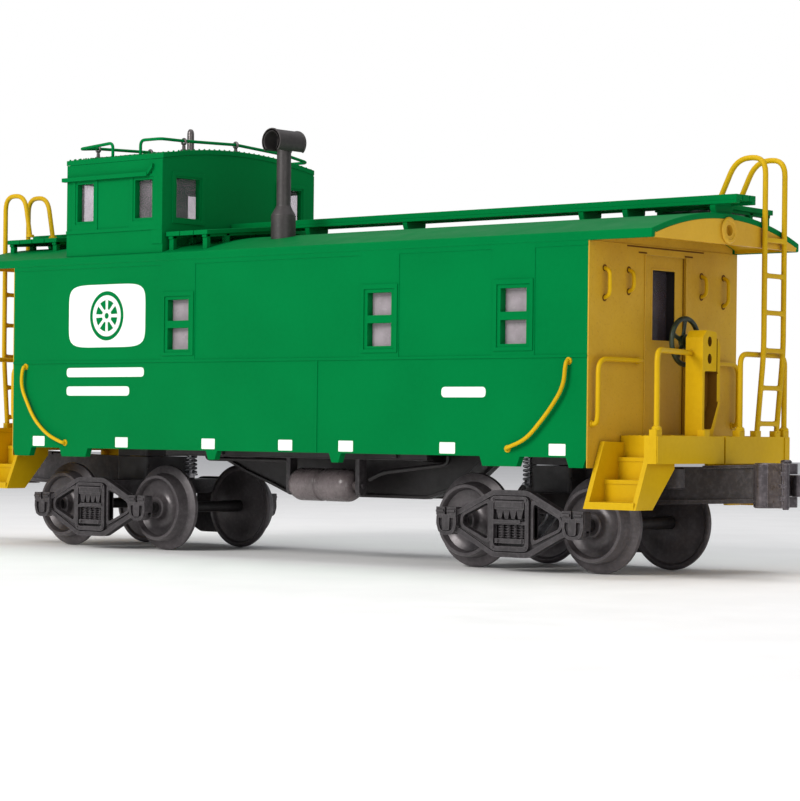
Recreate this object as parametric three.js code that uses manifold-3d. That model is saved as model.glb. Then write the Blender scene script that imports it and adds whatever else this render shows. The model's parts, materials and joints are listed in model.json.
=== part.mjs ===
// A model caboose for three-rail O gauge track, in millimetres.
// +X runs along the car towards the front platform, +Y is the left side, +Z is up.
// The origin is at the middle of the car, level with the lowest points of the wheel flanges.
// The pieces are drawn with z = 0 on top of the rails, and the whole car is then lifted by railTop.
import * as THREE from "three";
import { mergeVertices } from "three/addons/utils/BufferGeometryUtils.js";
import Module from "manifold-3d";

const wasm = await Module();
wasm.setup();

// ---------------------------------------------------------------- driving dimensions

const gap = 0.05; // between fixed parts
const runClearance = 0.1; // between a shaft and the hole it turns in

const body = {
  halfLength: 99.5,
  halfWidth: 29.9,
  sideWall: 1.8,
  endWall: 3,
  bottom: 24.8,
  top: 74.3,
  belt: 48,
  seamX: 15.4,
};

const roof = {
  halfLength: 117,
  halfWidth: 30.1,
  crown: 81.6,
  edge: 76.3,
  sheet: 1.4,
  eaveWall: 1.3,
};

const cupola = {
  x0: -79,
  x1: -41.4,
  halfWidth: 28.9,
  overhang: 0.15,
  wall: 1.6,
  gutter: 97.5,
  edge: 102.75,
  crown: 105.4,
  sheet: 1.3,
  belt: 83.2,
};

const platform = {
  deckTop: 30,
  deckHeight: 2,
  deckHalfWidth: 17.4,
  sillX: 116.7,
  sillThick: 3.3,
  sillBottom: 23.7,
  sillHalfWidth: 27.2,
};

const steps = {
  x0: 99.65,
  x1: 114.3,
  plate: 1.2,
  bottom: 13.3,
  reach: 31.5,
  lean: 0.41,
  treads: [
    { top: 14.9, front: -31.2, back: -24.9, riserTop: 19.6 },
    { top: 19.9, front: -24.9, back: -19.7, riserTop: 24.7 },
    { top: 25, front: -19.7, back: -17.4, riserTop: 28.5 },
  ],
};

const truck = {
  centreX: 73,
  halfWheelbase: 19,
  axleZ: 9.05,
  frameInner: 22.4,
  frameOuter: 24.6,
  towerX: 6,
  towerY: 9.5,
};

const wheel = { back: 13.4, face: 18.3, flange: 11.5, tread: 9.05, rim: 8.75 };
const railTop = wheel.flange - wheel.tread;
const axle = { radius: 1.6, journal: 1.1, shoulder: 20.2, end: 24 };

const deckWire = 0.65;
const endLamp = { z: 77.6, boss: 3.1, hole: 1.3 };
const jack = { x: -9.9, y: -16, hoodZ: 104.6 };
const mast = { x: -60.2, y: -0.7, top: 112, radius: 0.95 };
const handBrake = { wheelX: 105.2, shaftZ: 52.1 };

// ---------------------------------------------------------------- materials

const paint = (color, roughness = 0.45, metalness = 0) =>
  new THREE.MeshStandardMaterial({ color, roughness, metalness });

const green = paint(0x00853f);
const yellow = paint(0xe0b414);
const black = paint(0x231f20, 0.6);
const darkGrey = paint(0x5a5558, 0.5, 0.35);
const smokeGrey = paint(0x4a4445, 0.6);
const tankGrey = paint(0x8a8283, 0.4, 0.2);
const steel = paint(0xa8a8ac, 0.3, 0.9);
const glass = paint(0xb0a5aa, 0.25);
const wheelGreen = paint(0x1d3b2a, 0.5);
const lampGlass = paint(0xf4ead2, 0.2);

// ---------------------------------------------------------------- solid modelling

// Turns a closed three.js geometry into a solid that can be joined and cut.
function solid(geometry) {
  const bare = geometry.index ? geometry.toNonIndexed() : geometry.clone();
  bare.deleteAttribute("normal");
  bare.deleteAttribute("uv");
  const merged = mergeVertices(bare, 1e-4);
  return new wasm.Manifold(
    new wasm.Mesh({
      numProp: 3,
      vertProperties: merged.attributes.position.array,
      triVerts: new Uint32Array(merged.index.array),
    }),
  );
}

function geometryOf(part) {
  const mesh = part.getMesh();
  const geometry = new THREE.BufferGeometry();
  geometry.setAttribute("position", new THREE.BufferAttribute(mesh.vertProperties, 3));
  geometry.setIndex(new THREE.BufferAttribute(mesh.triVerts, 1));
  geometry.computeVertexNormals();
  return geometry;
}

// A [low, high] range from two numbers in either order.
const between = (a, b) => (a < b ? [a, b] : [b, a]);

const join = (parts) => parts.reduce((whole, part) => whole.add(part));
const cut = (whole, tools) => tools.reduce((rest, tool) => rest.subtract(tool), whole);

// Ranges are given as [low, high] on each axis.
function block([x0, x1], [y0, y1], [z0, z1]) {
  const box = new THREE.BoxGeometry(x1 - x0, y1 - y0, z1 - z0);
  return solid(box.translate((x0 + x1) / 2, (y0 + y1) / 2, (z0 + z1) / 2));
}

function outline(points) {
  return new THREE.Shape(points.map(([a, b]) => new THREE.Vector2(a, b)));
}

function extrude(points, depth) {
  return new THREE.ExtrudeGeometry(outline(points), { depth, bevelEnabled: false });
}

// A [y, z] outline carried along X.
function prismX(points, [x0, x1]) {
  const axes = new THREE.Matrix4().makeBasis(
    new THREE.Vector3(0, 1, 0),
    new THREE.Vector3(0, 0, 1),
    new THREE.Vector3(1, 0, 0),
  );
  return solid(extrude(points, x1 - x0).applyMatrix4(axes).translate(x0, 0, 0));
}

// An [x, z] outline carried along Y.
function prismY(points, [y0, y1]) {
  const axes = new THREE.Matrix4().makeBasis(
    new THREE.Vector3(1, 0, 0),
    new THREE.Vector3(0, 0, 1),
    new THREE.Vector3(0, -1, 0),
  );
  return solid(extrude(points, y1 - y0).applyMatrix4(axes).translate(0, y1, 0));
}

// An [x, y] outline carried along Z.
function prismZ(points, [z0, z1]) {
  return solid(extrude(points, z1 - z0).translate(0, 0, z0));
}

// A round bar along one axis, from a to b, centred on the other two coordinates.
function bar(axisName, radius, [a, b], [u, v], sides = 16) {
  const rod = new THREE.CylinderGeometry(radius, radius, b - a, sides);
  const middle = (a + b) / 2;
  if (axisName === "x") rod.rotateZ(Math.PI / 2).translate(middle, u, v);
  if (axisName === "y") rod.translate(u, middle, v);
  if (axisName === "z") rod.rotateX(Math.PI / 2).translate(u, v, middle);
  return solid(rod);
}

// A turned shape: [radius, height] points round Z.
function turned(points, sides) {
  const profile = points.map(([r, h]) => new THREE.Vector2(r, h));
  return solid(new THREE.LatheGeometry(profile, sides).rotateX(Math.PI / 2));
}

// The centre line of a wire: straight runs joined by bends, sampled only where it turns.
class WirePath extends THREE.Curve {
  constructor(points, bend, bendSteps) {
    super();
    const corners = points.map((p) => new THREE.Vector3(...p));
    this.stops = [corners[0]];
    for (let i = 1; i < corners.length - 1; i += 1) {
      const [last, corner, next] = corners.slice(i - 1, i + 2);
      const before = corner.clone().lerp(last, Math.min(bend / corner.distanceTo(last), 0.45));
      const after = corner.clone().lerp(next, Math.min(bend / corner.distanceTo(next), 0.45));
      this.stops.push(...new THREE.QuadraticBezierCurve3(before, corner, after).getPoints(bendSteps));
    }
    this.stops.push(corners[corners.length - 1]);
  }

  getPoint(t) {
    const place = t * (this.stops.length - 1);
    const i = Math.min(Math.floor(place), this.stops.length - 2);
    return this.stops[i].clone().lerp(this.stops[i + 1], place - i);
  }

  getPointAt(t) {
    return this.getPoint(t);
  }

  getTangentAt(t) {
    const i = Math.round(t * (this.stops.length - 1));
    const back = this.stops[Math.max(i - 1, 0)];
    const ahead = this.stops[Math.min(i + 1, this.stops.length - 1)];
    return ahead.clone().sub(back).normalize();
  }
}

// A wire through the given points, with corners rounded as far as their runs allow.
function wire(points, radius, bend, bendSteps = 3, sides = 8) {
  const path = new WirePath(points, bend, bendSteps);
  const section = new THREE.Shape();
  section.absarc(0, 0, radius, 0, 2 * Math.PI);
  const steps = path.stops.length - 1;
  const options = { extrudePath: path, steps, curveSegments: sides / 2, bevelEnabled: false };
  return solid(new THREE.ExtrudeGeometry(section, options));
}

const mirrorY = (part) => part.mirror([0, 1, 0]);
const turnRound = (part) => part.rotate([0, 0, 180]);

// ---------------------------------------------------------------- arches

// The circle through a crown at y = 0 and an edge at y = halfWidth.
function archOf(halfWidth, edge, crown) {
  const rise = crown - edge;
  const radius = (halfWidth ** 2 + rise ** 2) / (2 * rise);
  return { radius, centre: crown - radius };
}

const archHeight = (arch, y, inset = 0) =>
  arch.centre + Math.sqrt((arch.radius - inset) ** 2 - y ** 2);

// [y, z] points over the arch from +halfWidth to -halfWidth.
function archPoints(arch, halfWidth, inset = 0, count = 16) {
  return Array.from({ length: count + 1 }, (_, i) => {
    const y = halfWidth * (1 - (2 * i) / count);
    return [y, archHeight(arch, y, inset)];
  });
}

const roofArch = archOf(roof.halfWidth, roof.edge, roof.crown);
const cupolaArch = archOf(cupola.halfWidth + cupola.overhang, cupola.edge, cupola.crown);

// Everything below an arch, as a cutting tool.
function underArch(arch, halfWidth, inset, floor, range) {
  return prismX([[-halfWidth, floor], [halfWidth, floor], ...archPoints(arch, halfWidth, inset)], range);
}

// ---------------------------------------------------------------- car body

const sideWindows = [-34.1, 36.05, 77.7];
const tabs = [
  [-99.5, -91.4],
  [-79.9, -68.6],
  [-23.4, -19.3],
  [19.8, 23.8],
  [67.9, 79.9],
  [93.4, 99.5],
];

// Everything on the right-hand side wall, at negative Y.
function rightSideWall() {
  const outer = -body.halfWidth;
  const inner = outer + body.sideWall;
  const length = [-body.halfLength, body.halfLength];
  const wall = block(length, [outer, inner], [body.bottom, body.top]);
  const hangers = tabs.map(([x0, x1]) =>
    prismY(
      [[x0 + 1.2, 22.5], [x1 - 1.2, 22.5], [x1, body.bottom + 0.1], [x0, body.bottom + 0.1]],
      [outer, inner],
    ),
  );
  const belt = block(length, [outer - 0.25, outer], [body.belt - 0.5, body.belt + 0.5]);
  const seam = block([body.seamX - 0.4, body.seamX + 0.4], [outer - 0.2, outer], [body.bottom, body.belt]);
  const frames = sideWindows.map((x) => block([x - 6.3, x + 6.3], [outer - 0.35, outer], [49.4, 66]));
  const panes = sideWindows.flatMap((x) =>
    [[51, 56.6], [58.5, 64]].map((heights) =>
      block([x - 3.85, x + 3.85], [outer - 1, inner + 1], heights),
    ),
  );
  return cut(join([wall, ...hangers, belt, seam, ...frames]), panes);
}

// A moulded grab iron: an upright bar on two stubs, on the front end wall.
function endGrab(y, [z0, z1]) {
  const face = body.halfLength;
  const upright = block([face + 0.6, face + 1.5], [y - 0.45, y + 0.45], [z0, z1]);
  const stubs = [z0, z1 - 0.9].map((z) =>
    block([face - 0.5, face + 1.5], [y - 0.45, y + 0.45], [z, z + 0.9]),
  );
  return join([upright, ...stubs]);
}

// The bent handrail beside the door, on the right half of the front end wall.
function cornerRail() {
  const inX = body.halfLength - 0.5;
  const outX = body.halfLength + 1.7;
  const points = [
    [inX, -28.3, 32.6],
    [outX, -28.3, 32.6],
    [outX, -28.3, 47.4],
    [outX, -11, 47.4],
    [inX, -11, 47.4],
  ];
  return wire(points, 0.55, 2.5);
}

function frontEndWall() {
  const face = body.halfLength;
  const thickness = [face - body.endWall, face];
  const wall = block(thickness, [-body.halfWidth + 1, body.halfWidth - 1], [body.bottom, body.top]);
  const gable = underArch(roofArch, roof.halfWidth - roof.eaveWall - gap, roof.sheet + gap, 74, thickness);
  const recess = block([face - 1.35, face + 1], [-8.1, 8.1], [30.3, 72.2]);
  const window = block([face - 9, face + 9], [-4.5, 4.5], [52.4, 68.8]);
  const grabs = [[24, [61, 68.7]], [14.7, [62.8, 68.7]]].flatMap(([y, heights]) => [
    endGrab(-y, heights),
    endGrab(y, heights),
  ]);
  const rails = [cornerRail(), mirrorY(cornerRail())];
  return join([cut(wall.add(gable), [recess, window]), ...grabs, ...rails]);
}

function bodyShell() {
  const side = rightSideWall();
  const end = frontEndWall();
  return join([side, mirrorY(side), end, turnRound(end)]);
}

function roofShell() {
  const length = [-roof.halfLength, roof.halfLength];
  const outer = prismX(
    [[-roof.halfWidth, body.top], [roof.halfWidth, body.top], ...archPoints(roofArch, roof.halfWidth)],
    length,
  );
  const inside = roof.halfLength - roof.eaveWall;
  const roomHalf = roof.halfWidth - roof.eaveWall;
  const room = underArch(roofArch, roomHalf, roof.sheet, body.top - 1, [-inside, inside]);
  const lookout = block([cupola.x0 + 3, cupola.x1 - 3], [-26, 26], [70, 90]);
  const bosses = [-1, 1].map((side) => {
    const x = side * roof.halfLength;
    return bar("x", endLamp.boss, between(x - side * 0.1, x + side * 0.7), [0, endLamp.z], 24);
  });
  const lampHoles = [-1, 1].map((side) => {
    const x = side * roof.halfLength;
    return bar("x", endLamp.hole, [x - 0.9, x + 0.9], [0, endLamp.z], 12);
  });
  return cut(join([cut(outer, [room, lookout]), ...bosses]), lampHoles);
}

// ---------------------------------------------------------------- cupola

const cupolaSideWindows = [[-74.7, -68.3], [-52, -45.4]];

function cupolaShell() {
  const { x0, x1, halfWidth, wall } = cupola;
  const length = [x0, x1];
  const outer = underArch(cupolaArch, halfWidth, cupola.sheet + gap, 70, length);
  const room = block([x0 + wall, x1 - wall], [-halfWidth + wall, halfWidth - wall], [60, 120]);
  const roofBelow = underArch(roofArch, roof.halfWidth, -gap, 50, [x0 - 5, x1 + 5]);
  const trims = [];
  const openings = [];
  for (const side of [-1, 1]) {
    const face = side * halfWidth;
    const across = (a, b) => between(face + side * a, face + side * b);
    trims.push(block([x0 - 1.2, x1 - 4], across(-0.2, 1.2), [cupola.gutter - 0.6, cupola.gutter + 0.6]));
    trims.push(block([x0, x1], across(-0.2, 0.3), [cupola.belt - 0.5, cupola.belt + 0.5]));
    for (const [w0, w1] of cupolaSideWindows) {
      trims.push(block([w0 - 1.9, w1 + 1.7], across(-0.2, 0.4), [82.6, cupola.gutter]));
      openings.push(block([w0, w1], across(-3, 3), [86, 96.1]));
    }
    for (const [end, out] of [[x0, -1], [x1, 1]]) {
      const along = (a, b) => between(end + out * a, end + out * b);
      trims.push(block(along(-0.2, 0.3), between(side * 14.5, side * 25.4), [85.2, 98.4]));
      openings.push(block(along(-3, 3), between(side * 15.3, side * 24), [86.1, 96.6]));
    }
  }
  return cut(join([cut(outer, [room]), ...trims]), [...openings, roofBelow]);
}

function cupolaRoof() {
  const length = [cupola.x0 - cupola.overhang, cupola.x1 + cupola.overhang];
  const half = cupola.halfWidth + cupola.overhang;
  const lower = archPoints(cupolaArch, half, cupola.sheet).reverse();
  const cap = prismX([...lower, ...archPoints(cupolaArch, half)], length);
  const pole = bar("z", mast.radius, [cupola.crown - 0.8, mast.top], [mast.x, mast.y], 12);
  const ball = new THREE.SphereGeometry(mast.radius, 12, 8);
  const poleTip = solid(ball.translate(mast.x, mast.y, mast.top - 0.1));
  return join([cap, pole, poleTip]);
}

// A wire handrail on the cupola roof: it leaves the roof beside the near edge, goes round the end of
// the roof through three eyelets, and comes back along the far edge.
function cupolaRail(endX, footX, nearCorner) {
  const onRoof = (y) => archHeight(cupolaArch, y) + gap / 2;
  const points = [
    [footX, -27.6, onRoof(27.6)],
    [footX, -27.6, 106.8],
    nearCorner,
    [endX, -19.5, 106.8],
    [endX, 0, 107.5],
    [endX, 19.5, 106.4],
    [endX, 28.4, 105],
    [footX, 28.2, 105],
    [footX, 28.2, onRoof(28.2)],
  ];
  const rail = wire(points, 0.42, 0.8, 2, 6);
  const eyelets = [-19.5, 0, 19.5].map((y) => {
    const z = archHeight(cupolaArch, y);
    const top = y === 0 ? 107.4 : 106.6;
    const post = bar("z", 0.5, [z + gap, top], [endX, y], 8);
    return post.add(solid(new THREE.SphereGeometry(1, 10, 6).translate(endX, y, top)));
  });
  return join([rail, ...eyelets]);
}

// ---------------------------------------------------------------- roofwalk and roof fittings

const walk = { bottom: 83.5, top: 85.6, halfWidth: 4, end: 121.8 };

const roofClearance = () => underArch(roofArch, roof.halfWidth, -gap, 50, [-130, 130]);

// A side board, sloping down from the walk to its outer edge, with two legs on the roof.
function sideBoard([x0, x1], side, reach, outerTop) {
  const thick = 1.9;
  const innerTop = walk.top - 1.3;
  const profile = [
    [side * (walk.halfWidth - 0.5), innerTop - thick],
    [side * reach, outerTop - thick],
    [side * reach, outerTop],
    [side * (walk.halfWidth - 0.5), innerTop],
  ];
  const board = prismX(side > 0 ? profile : profile.reverse(), [x0, x1]);
  const legY = between(side * (reach - 2), side * (reach - 0.6));
  const legs = [x0 + 0.6, x1 - 2.2].map((x) => block([x, x + 1.6], legY, [74, outerTop - 0.5]));
  return join([board, ...legs]);
}

function runningBoard([x0, x1], saddles, boards) {
  const plank = block([x0, x1], [-walk.halfWidth, walk.halfWidth], [walk.bottom, walk.top]);
  const supports = saddles.map((x) =>
    block([x - 0.7, x + 0.7], [-walk.halfWidth + 0.2, walk.halfWidth - 0.2], [78, walk.bottom + 0.5]),
  );
  return cut(join([plank, ...supports, ...boards]), [roofClearance()]);
}

function frontRoofwalk() {
  const start = cupola.x1 + 0.6;
  return runningBoard([start, walk.end], [-33, -13, 21, 77, 90, 115], [
    sideBoard([start, -25.5], -1, 28.2, 82),
    sideBoard([start, -25.5], 1, 28.2, 82),
    sideBoard([93.5, 113.8], 1, 23.6, 84),
  ]);
}

function rearRoofwalk() {
  return runningBoard([-walk.end, cupola.x0 - 0.6], [-115, -84], [
    sideBoard([-114.6, -93.8], -1, 19.6, 83.1),
  ]);
}

function smokejack() {
  const shaft = turned([[0, 70], [3.2, 70], [3.2, 85], [2.15, 88.4], [2.15, 106.8], [0, 106.8]], 20);
  const centreZ = jack.hoodZ;
  const span = [-4.9, 4.9];
  const hood = cut(bar("y", 3.2, span, [0, centreZ], 24), [
    bar("y", 2.5, [-9, 9], [0, centreZ], 24),
    prismY([[0, centreZ], [-5, centreZ - 6.5], [5, centreZ - 6.5]], [-9, 9]),
  ]);
  const roofBelow = roofClearance().translate([-jack.x, -jack.y, 0]);
  return cut(join([shaft, hood]), [roofBelow]).translate([jack.x, jack.y, 0]);
}

// ---------------------------------------------------------------- windows and lamp

function sideGlazing() {
  const inner = body.halfWidth - body.sideWall;
  return block([-41, 84.6], [-inner + gap, -inner + 1], [49.8, 65.6]);
}

function cupolaGlazing() {
  const x0 = cupola.x0 + cupola.wall + gap;
  const x1 = cupola.x1 - cupola.wall - gap;
  const y = cupola.halfWidth - cupola.wall - gap;
  const outer = block([x0, x1], [-y, y], [85.2, 97.4]);
  return cut(outer, [block([x0 + 0.8, x1 - 0.8], [-y + 0.8, y - 0.8], [80, 100])]);
}

function doorGlazing() {
  const inner = body.halfLength - body.endWall;
  return block([inner - 1, inner - gap], [-5.6, 5.6], [51.6, 69.6]);
}

function lampBulb() {
  return turned([[0, 30.05], [2.4, 30.05], [2.4, 36], [3, 38], [3, 41], [1.8, 43.4], [0, 44]], 16);
}

// ---------------------------------------------------------------- floor and tank

const tank = { x0: -7, x1: 15.4, y: -14, z: 16.5, radius: 4.2, bracket: 1.6 };

function tankBracket([x0, x1]) {
  return block([x0, x1], [tank.y - 1.5, tank.y + 1.5], [tank.z - 2.6, body.bottom + 0.5]);
}

function chassisFloor() {
  const inner = body.halfWidth - body.sideWall - gap;
  const end = body.halfLength - body.endWall - gap;
  const plate = block([-end, end], [-inner, inner], [body.bottom, 27]);
  const centreSill = prismY(
    [[-48.5, 25], [-32.7, 18.6], [-24, 15.8], [-17, 13.3], [30, 13.3], [38, 15.6], [50, 25]],
    [-5, 5],
  );
  const crossBearers = [-24, 36].map((x) => block([x - 0.8, x + 0.8], [-24, 24], [22.8, 25]));
  const sideBeams = [-1, 1].map((side) =>
    block([-45, 46], between(side * 22, side * 23.4), [23.4, 25]),
  );
  const lampSocket = bar("z", 3.4, [26.5, 30], [0, 0], 16);
  const bosses = [-1, 1].map((side) => {
    const x = side * truck.centreX;
    return block([x - truck.towerX, x + truck.towerX], [-truck.towerY, truck.towerY], [22.7, 25]);
  });
  const screwHoles = [-1, 1].map((side) => bar("z", 1.4, [20, 30], [side * truck.centreX, 0], 12));
  const brackets = [[tank.x0 - tank.bracket, tank.x0], [tank.x1, tank.x1 + tank.bracket]].map(tankBracket);
  const frame = [plate, centreSill, ...crossBearers, ...sideBeams];
  return cut(join([...frame, lampSocket, ...bosses, ...brackets]), screwHoles);
}

function airTank() {
  const { x0, x1, radius } = tank;
  const half = (x1 - x0) / 2 - gap;
  const shape = turned(
    [[0, -half], [1, -half], [1, -half + 0.9], [3.6, -half + 0.9], [radius, -half + 1.8],
      [radius, half - 1.8], [3.6, half - 0.9], [1, half - 0.9], [1, half], [0, half]],
    24,
  );
  return shape.rotate([0, 90, 0]).translate([(x0 + x1) / 2, tank.y, tank.z]);
}

// ---------------------------------------------------------------- end platforms

// Outer edge of the steps at height z, on the right-hand side.
const stepEdge = (z) => -steps.reach + steps.lean * (z - steps.bottom);

// One flight on the right-hand side of the front platform.
function stepFlight() {
  const under = platform.deckTop - platform.deckHeight;
  const innerEdge = -platform.deckHalfWidth + 0.8;
  const stringerOutline = [
    [stepEdge(steps.bottom), steps.bottom],
    [-25, steps.bottom],
    [innerEdge, 22.5],
    [innerEdge, under + 0.5],
    [stepEdge(28.6), 28.6],
  ];
  const stringers = [[steps.x0, steps.x0 + steps.plate], [steps.x1 - steps.plate, steps.x1]].map((range) =>
    prismX(stringerOutline, range),
  );
  const across = [steps.x0 + 0.5, steps.x1 - 0.5];
  const treads = steps.treads.map(({ top, front, back, riserTop }) => {
    const tread = block(across, [front, back + 0.8], [top - 0.8, top]);
    const riser = block(across, [back, back + 0.8], [top - 0.8, riserTop]);
    return tread.add(riser);
  });
  const lip = block(across, [-steps.reach, -steps.reach + 0.8], [steps.bottom, 14.9]);
  return join([...stringers, ...treads, lip]);
}

const postPlaces = [7.2, 26];
const postX = 115.9;
const padHeights = [platform.deckTop - 0.5, platform.deckTop + 1.4];

function endPlatform(ladderPlaces) {
  const { deckTop, deckHeight, deckHalfWidth, sillX, sillThick, sillBottom, sillHalfWidth } = platform;
  const deck = block(
    [steps.x0, sillX],
    [-deckHalfWidth, deckHalfWidth],
    [deckTop - deckHeight, deckTop],
  );
  const sill = block([sillX - sillThick, sillX], [-sillHalfWidth, sillHalfWidth], [sillBottom, deckTop]);
  const pads = [-1, 1].flatMap((side) =>
    postPlaces.map((y) => block([postX - 1.6, sillX], [side * y - 1.2, side * y + 1.2], padHeights)),
  );
  const feet = ladderPlaces.map((y) => block([postX - 0.8, sillX], [y - 1.1, y + 1.1], padHeights));
  const groove = block([sillX - 0.5, sillX + 1], [-0.4, 0.4], [20, 40]);
  const flight = stepFlight();
  return cut(join([deck, sill, ...pads, ...feet, flight, mirrorY(flight)]), [groove]);
}

const rail = { foot: padHeights[1] + gap, top: 49.3, bend: 1.6 };

// The railing on the right half of the front platform: one post, and a bar across to the brake stand.
function standRailing() {
  const outer = postPlaces[1];
  const points = [
    [postX, -outer, rail.foot],
    [postX, -outer, rail.top],
    [109.2, -3.6, rail.top],
  ];
  return wire(points, deckWire, rail.bend);
}

// The U-shaped railing on the left half of the front platform.
function hoopRailing() {
  const [inner, outer] = postPlaces;
  const points = [
    [postX, inner, rail.foot],
    [postX, inner, rail.top],
    [postX, outer, rail.top],
    [postX, outer, rail.foot],
  ];
  return wire(points, deckWire, rail.bend);
}

// The ladders lean out past the railings, stand upright from there, and hoop over onto the roof board.
const ladder = {
  x: 117.85,
  foot: padHeights[1] + gap,
  footX: 116.2,
  upright: 50,
  hoopTop: 95.8,
  hoopDepth: 8.2,
  rungs: [33.1, 41.5, 50.3, 59.2, 67.9, 76.3],
  places: { front: [14, 22.3], rear: [9.1, 17.6] },
};

// An end ladder on the front platform, with one stile at each of the two Y positions.
function endLadder([rightY, leftY], landing) {
  const { x, foot, footX, upright, hoopTop, hoopDepth } = ladder;
  const stile = (y) =>
    wire(
      [
        [footX, y, foot],
        [x, y, upright],
        [x, y, hoopTop],
        [x - hoopDepth, y, hoopTop],
        [landing[0], y, landing[1]],
      ],
      deckWire,
      4,
      5,
    );
  const rungs = ladder.rungs.map((z) => {
    const lean = Math.max(0, (upright - z) / (upright - foot));
    return bar("y", 0.5, [rightY, leftY], [x - lean * (x - footX), z], 8);
  });
  return join([stile(leftY), stile(rightY), ...rungs]);
}

// The hand brake housing: a closed head over an open channel, with a slot beside the head.
function brakeStand() {
  const deck = platform.deckTop + gap;
  const [back, front] = [107.6, 112.4];
  const column = [
    [-3.1, deck], [1.3, deck], [1.7, 31.5], [4.4, 38.5], [4.4, 51.5], [2, 54.3], [-1.6, 54.6], [-3.1, 52.9],
  ];
  const housing = prismX(column, [back, front]);
  const channelOutline = [[-2.3, 31.4], [0.6, 31.4], [3.3, 37.6], [3.3, 45.1], [-2.3, 45.1]];
  const channel = prismX(channelOutline, [front - 3, front + 1]);
  const slot = block([front - 1.2, front + 1], [2.5, 3.3], [45, 60]);
  const sight = [48, 52].map((z) => bar("x", 0.7, [front - 1.2, front + 1], [-0.3, z], 10));
  const shaftHole = bar("x", 0.8, [back - 1, front - 2.4], [0, handBrake.shaftZ], 12);
  return cut(housing, [channel, slot, ...sight, shaftHole]);
}

// A five-spoked hand wheel on a stub shaft that turns in the brake stand.
function brakeWheel() {
  const rim = solid(new THREE.TorusGeometry(5.4, 0.6, 6, 20));
  const spokes = Array.from({ length: 5 }, (_, i) => {
    const spoke = new THREE.BoxGeometry(5.2, 0.8, 0.7).translate(2.8, 0, 0);
    return solid(spoke.rotateZ((i * 2 * Math.PI) / 5));
  });
  const hub = bar("z", 1.2, [-0.7, 0.7], [0, 0], 12);
  const shaft = bar("z", 0.7, [0, 4.6], [0, 0], 12);
  const { wheelX, shaftZ } = handBrake;
  return join([rim, hub, shaft, ...spokes]).rotate([0, 90, 0]).translate([wheelX, 0, shaftZ]);
}

// ---------------------------------------------------------------- grab irons on the sides

function sideGrab(points) {
  const face = -body.halfWidth;
  const [first, ...rest] = points;
  const last = points[points.length - 1];
  const out = face - 1.3;
  const stops = [
    [first[0], face - gap, first[1]],
    [first[0], out, first[1]],
    ...rest.slice(0, -1).map(([x, z]) => [x, out, z]),
    [last[0], out, last[1]],
    [last[0], face - gap, last[1]],
  ];
  return wire(stops, 0.45, 0.7, 2);
}

const frontGrab = [[94, 46.9], [93.5, 41], [89.2, 35.3], [82.8, 28.8], [76.4, 26.6]];
const rearGrab = [[-94, 46.9], [-94.6, 41.3], [-89.2, 32.6], [-83.7, 28.4], [-77.6, 26.2]];

// ---------------------------------------------------------------- trucks

// One wheel on the left side, its axis along Y through the origin.
function wheelSolid() {
  const { back, face, flange, tread, rim } = wheel;
  const bore = axle.radius + gap;
  const profile = [
    [bore, back],
    [flange - 0.4, back],
    [flange, back + 0.7],
    [tread + 0.15, back + 1.9],
    [rim, face],
    [7.2, face],
    [6.9, face - 1.1],
    [3, face - 1.1],
    [2.8, face + 0.3],
    [bore, face + 0.3],
    [bore, back],
  ];
  return turned(profile, 24).rotate([-90, 0, 0]);
}

function axleSolid() {
  const { radius, journal, shoulder, end } = axle;
  const profile = [
    [0, -end],
    [journal, -end],
    [journal, -shoulder],
    [radius, -shoulder],
    [radius, shoulder],
    [journal, shoulder],
    [journal, end],
    [0, end],
  ];
  return turned(profile, 14).rotate([-90, 0, 0]);
}

// The left side frame of a truck centred on x = 0: an open diamond with a journal box at each end.
function sideFrame() {
  const mirrored = (points) => [...points, ...points.map(([x, z]) => [-x, z]).reverse()];
  const inner = truck.frameInner;
  const outer = truck.frameOuter;
  const diamond = mirrored([[5.2, 1], [15.9, 6.4], [21.9, 6.4], [21.9, 11.8], [15.9, 11.8], [5.2, 16.8]]);
  const plate = prismY(diamond, [inner, outer]);
  const triangle = [[6.8, 4.9], [14.6, 8.2], [14.6, 10.4], [6.8, 13.9]];
  const openings = [triangle, triangle.map(([x, z]) => [-x, z]).reverse()].map((points) =>
    prismY(points, [inner - 1, outer + 1]),
  );
  const nest = block([-4.6, 4.6], [inner + 1, outer + 1], [3.6, 14.4]);
  const boxes = [-1, 1].map((side) => {
    const x = side * truck.halfWheelbase;
    return block([x - 3.1, x + 3.1], [inner, outer + 0.9], [5.8, 12.4]);
  });
  const bore = axle.journal + runClearance;
  const bearings = [-1, 1].map((side) =>
    bar("y", bore, [inner - 1, axle.end + 0.3], [side * truck.halfWheelbase, truck.axleZ], 14),
  );
  const shelf = block([-4.8, 4.8], [inner, outer - 0.3], [8.6, 9.4]);
  return cut(join([cut(plate, [...openings, nest]), ...boxes, shelf]), bearings);
}

const coupler = { armHalf: 3.2, head: 123, pinX: 131.2, pinY: 3.4, bottom: 14, top: 24 };

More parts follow.
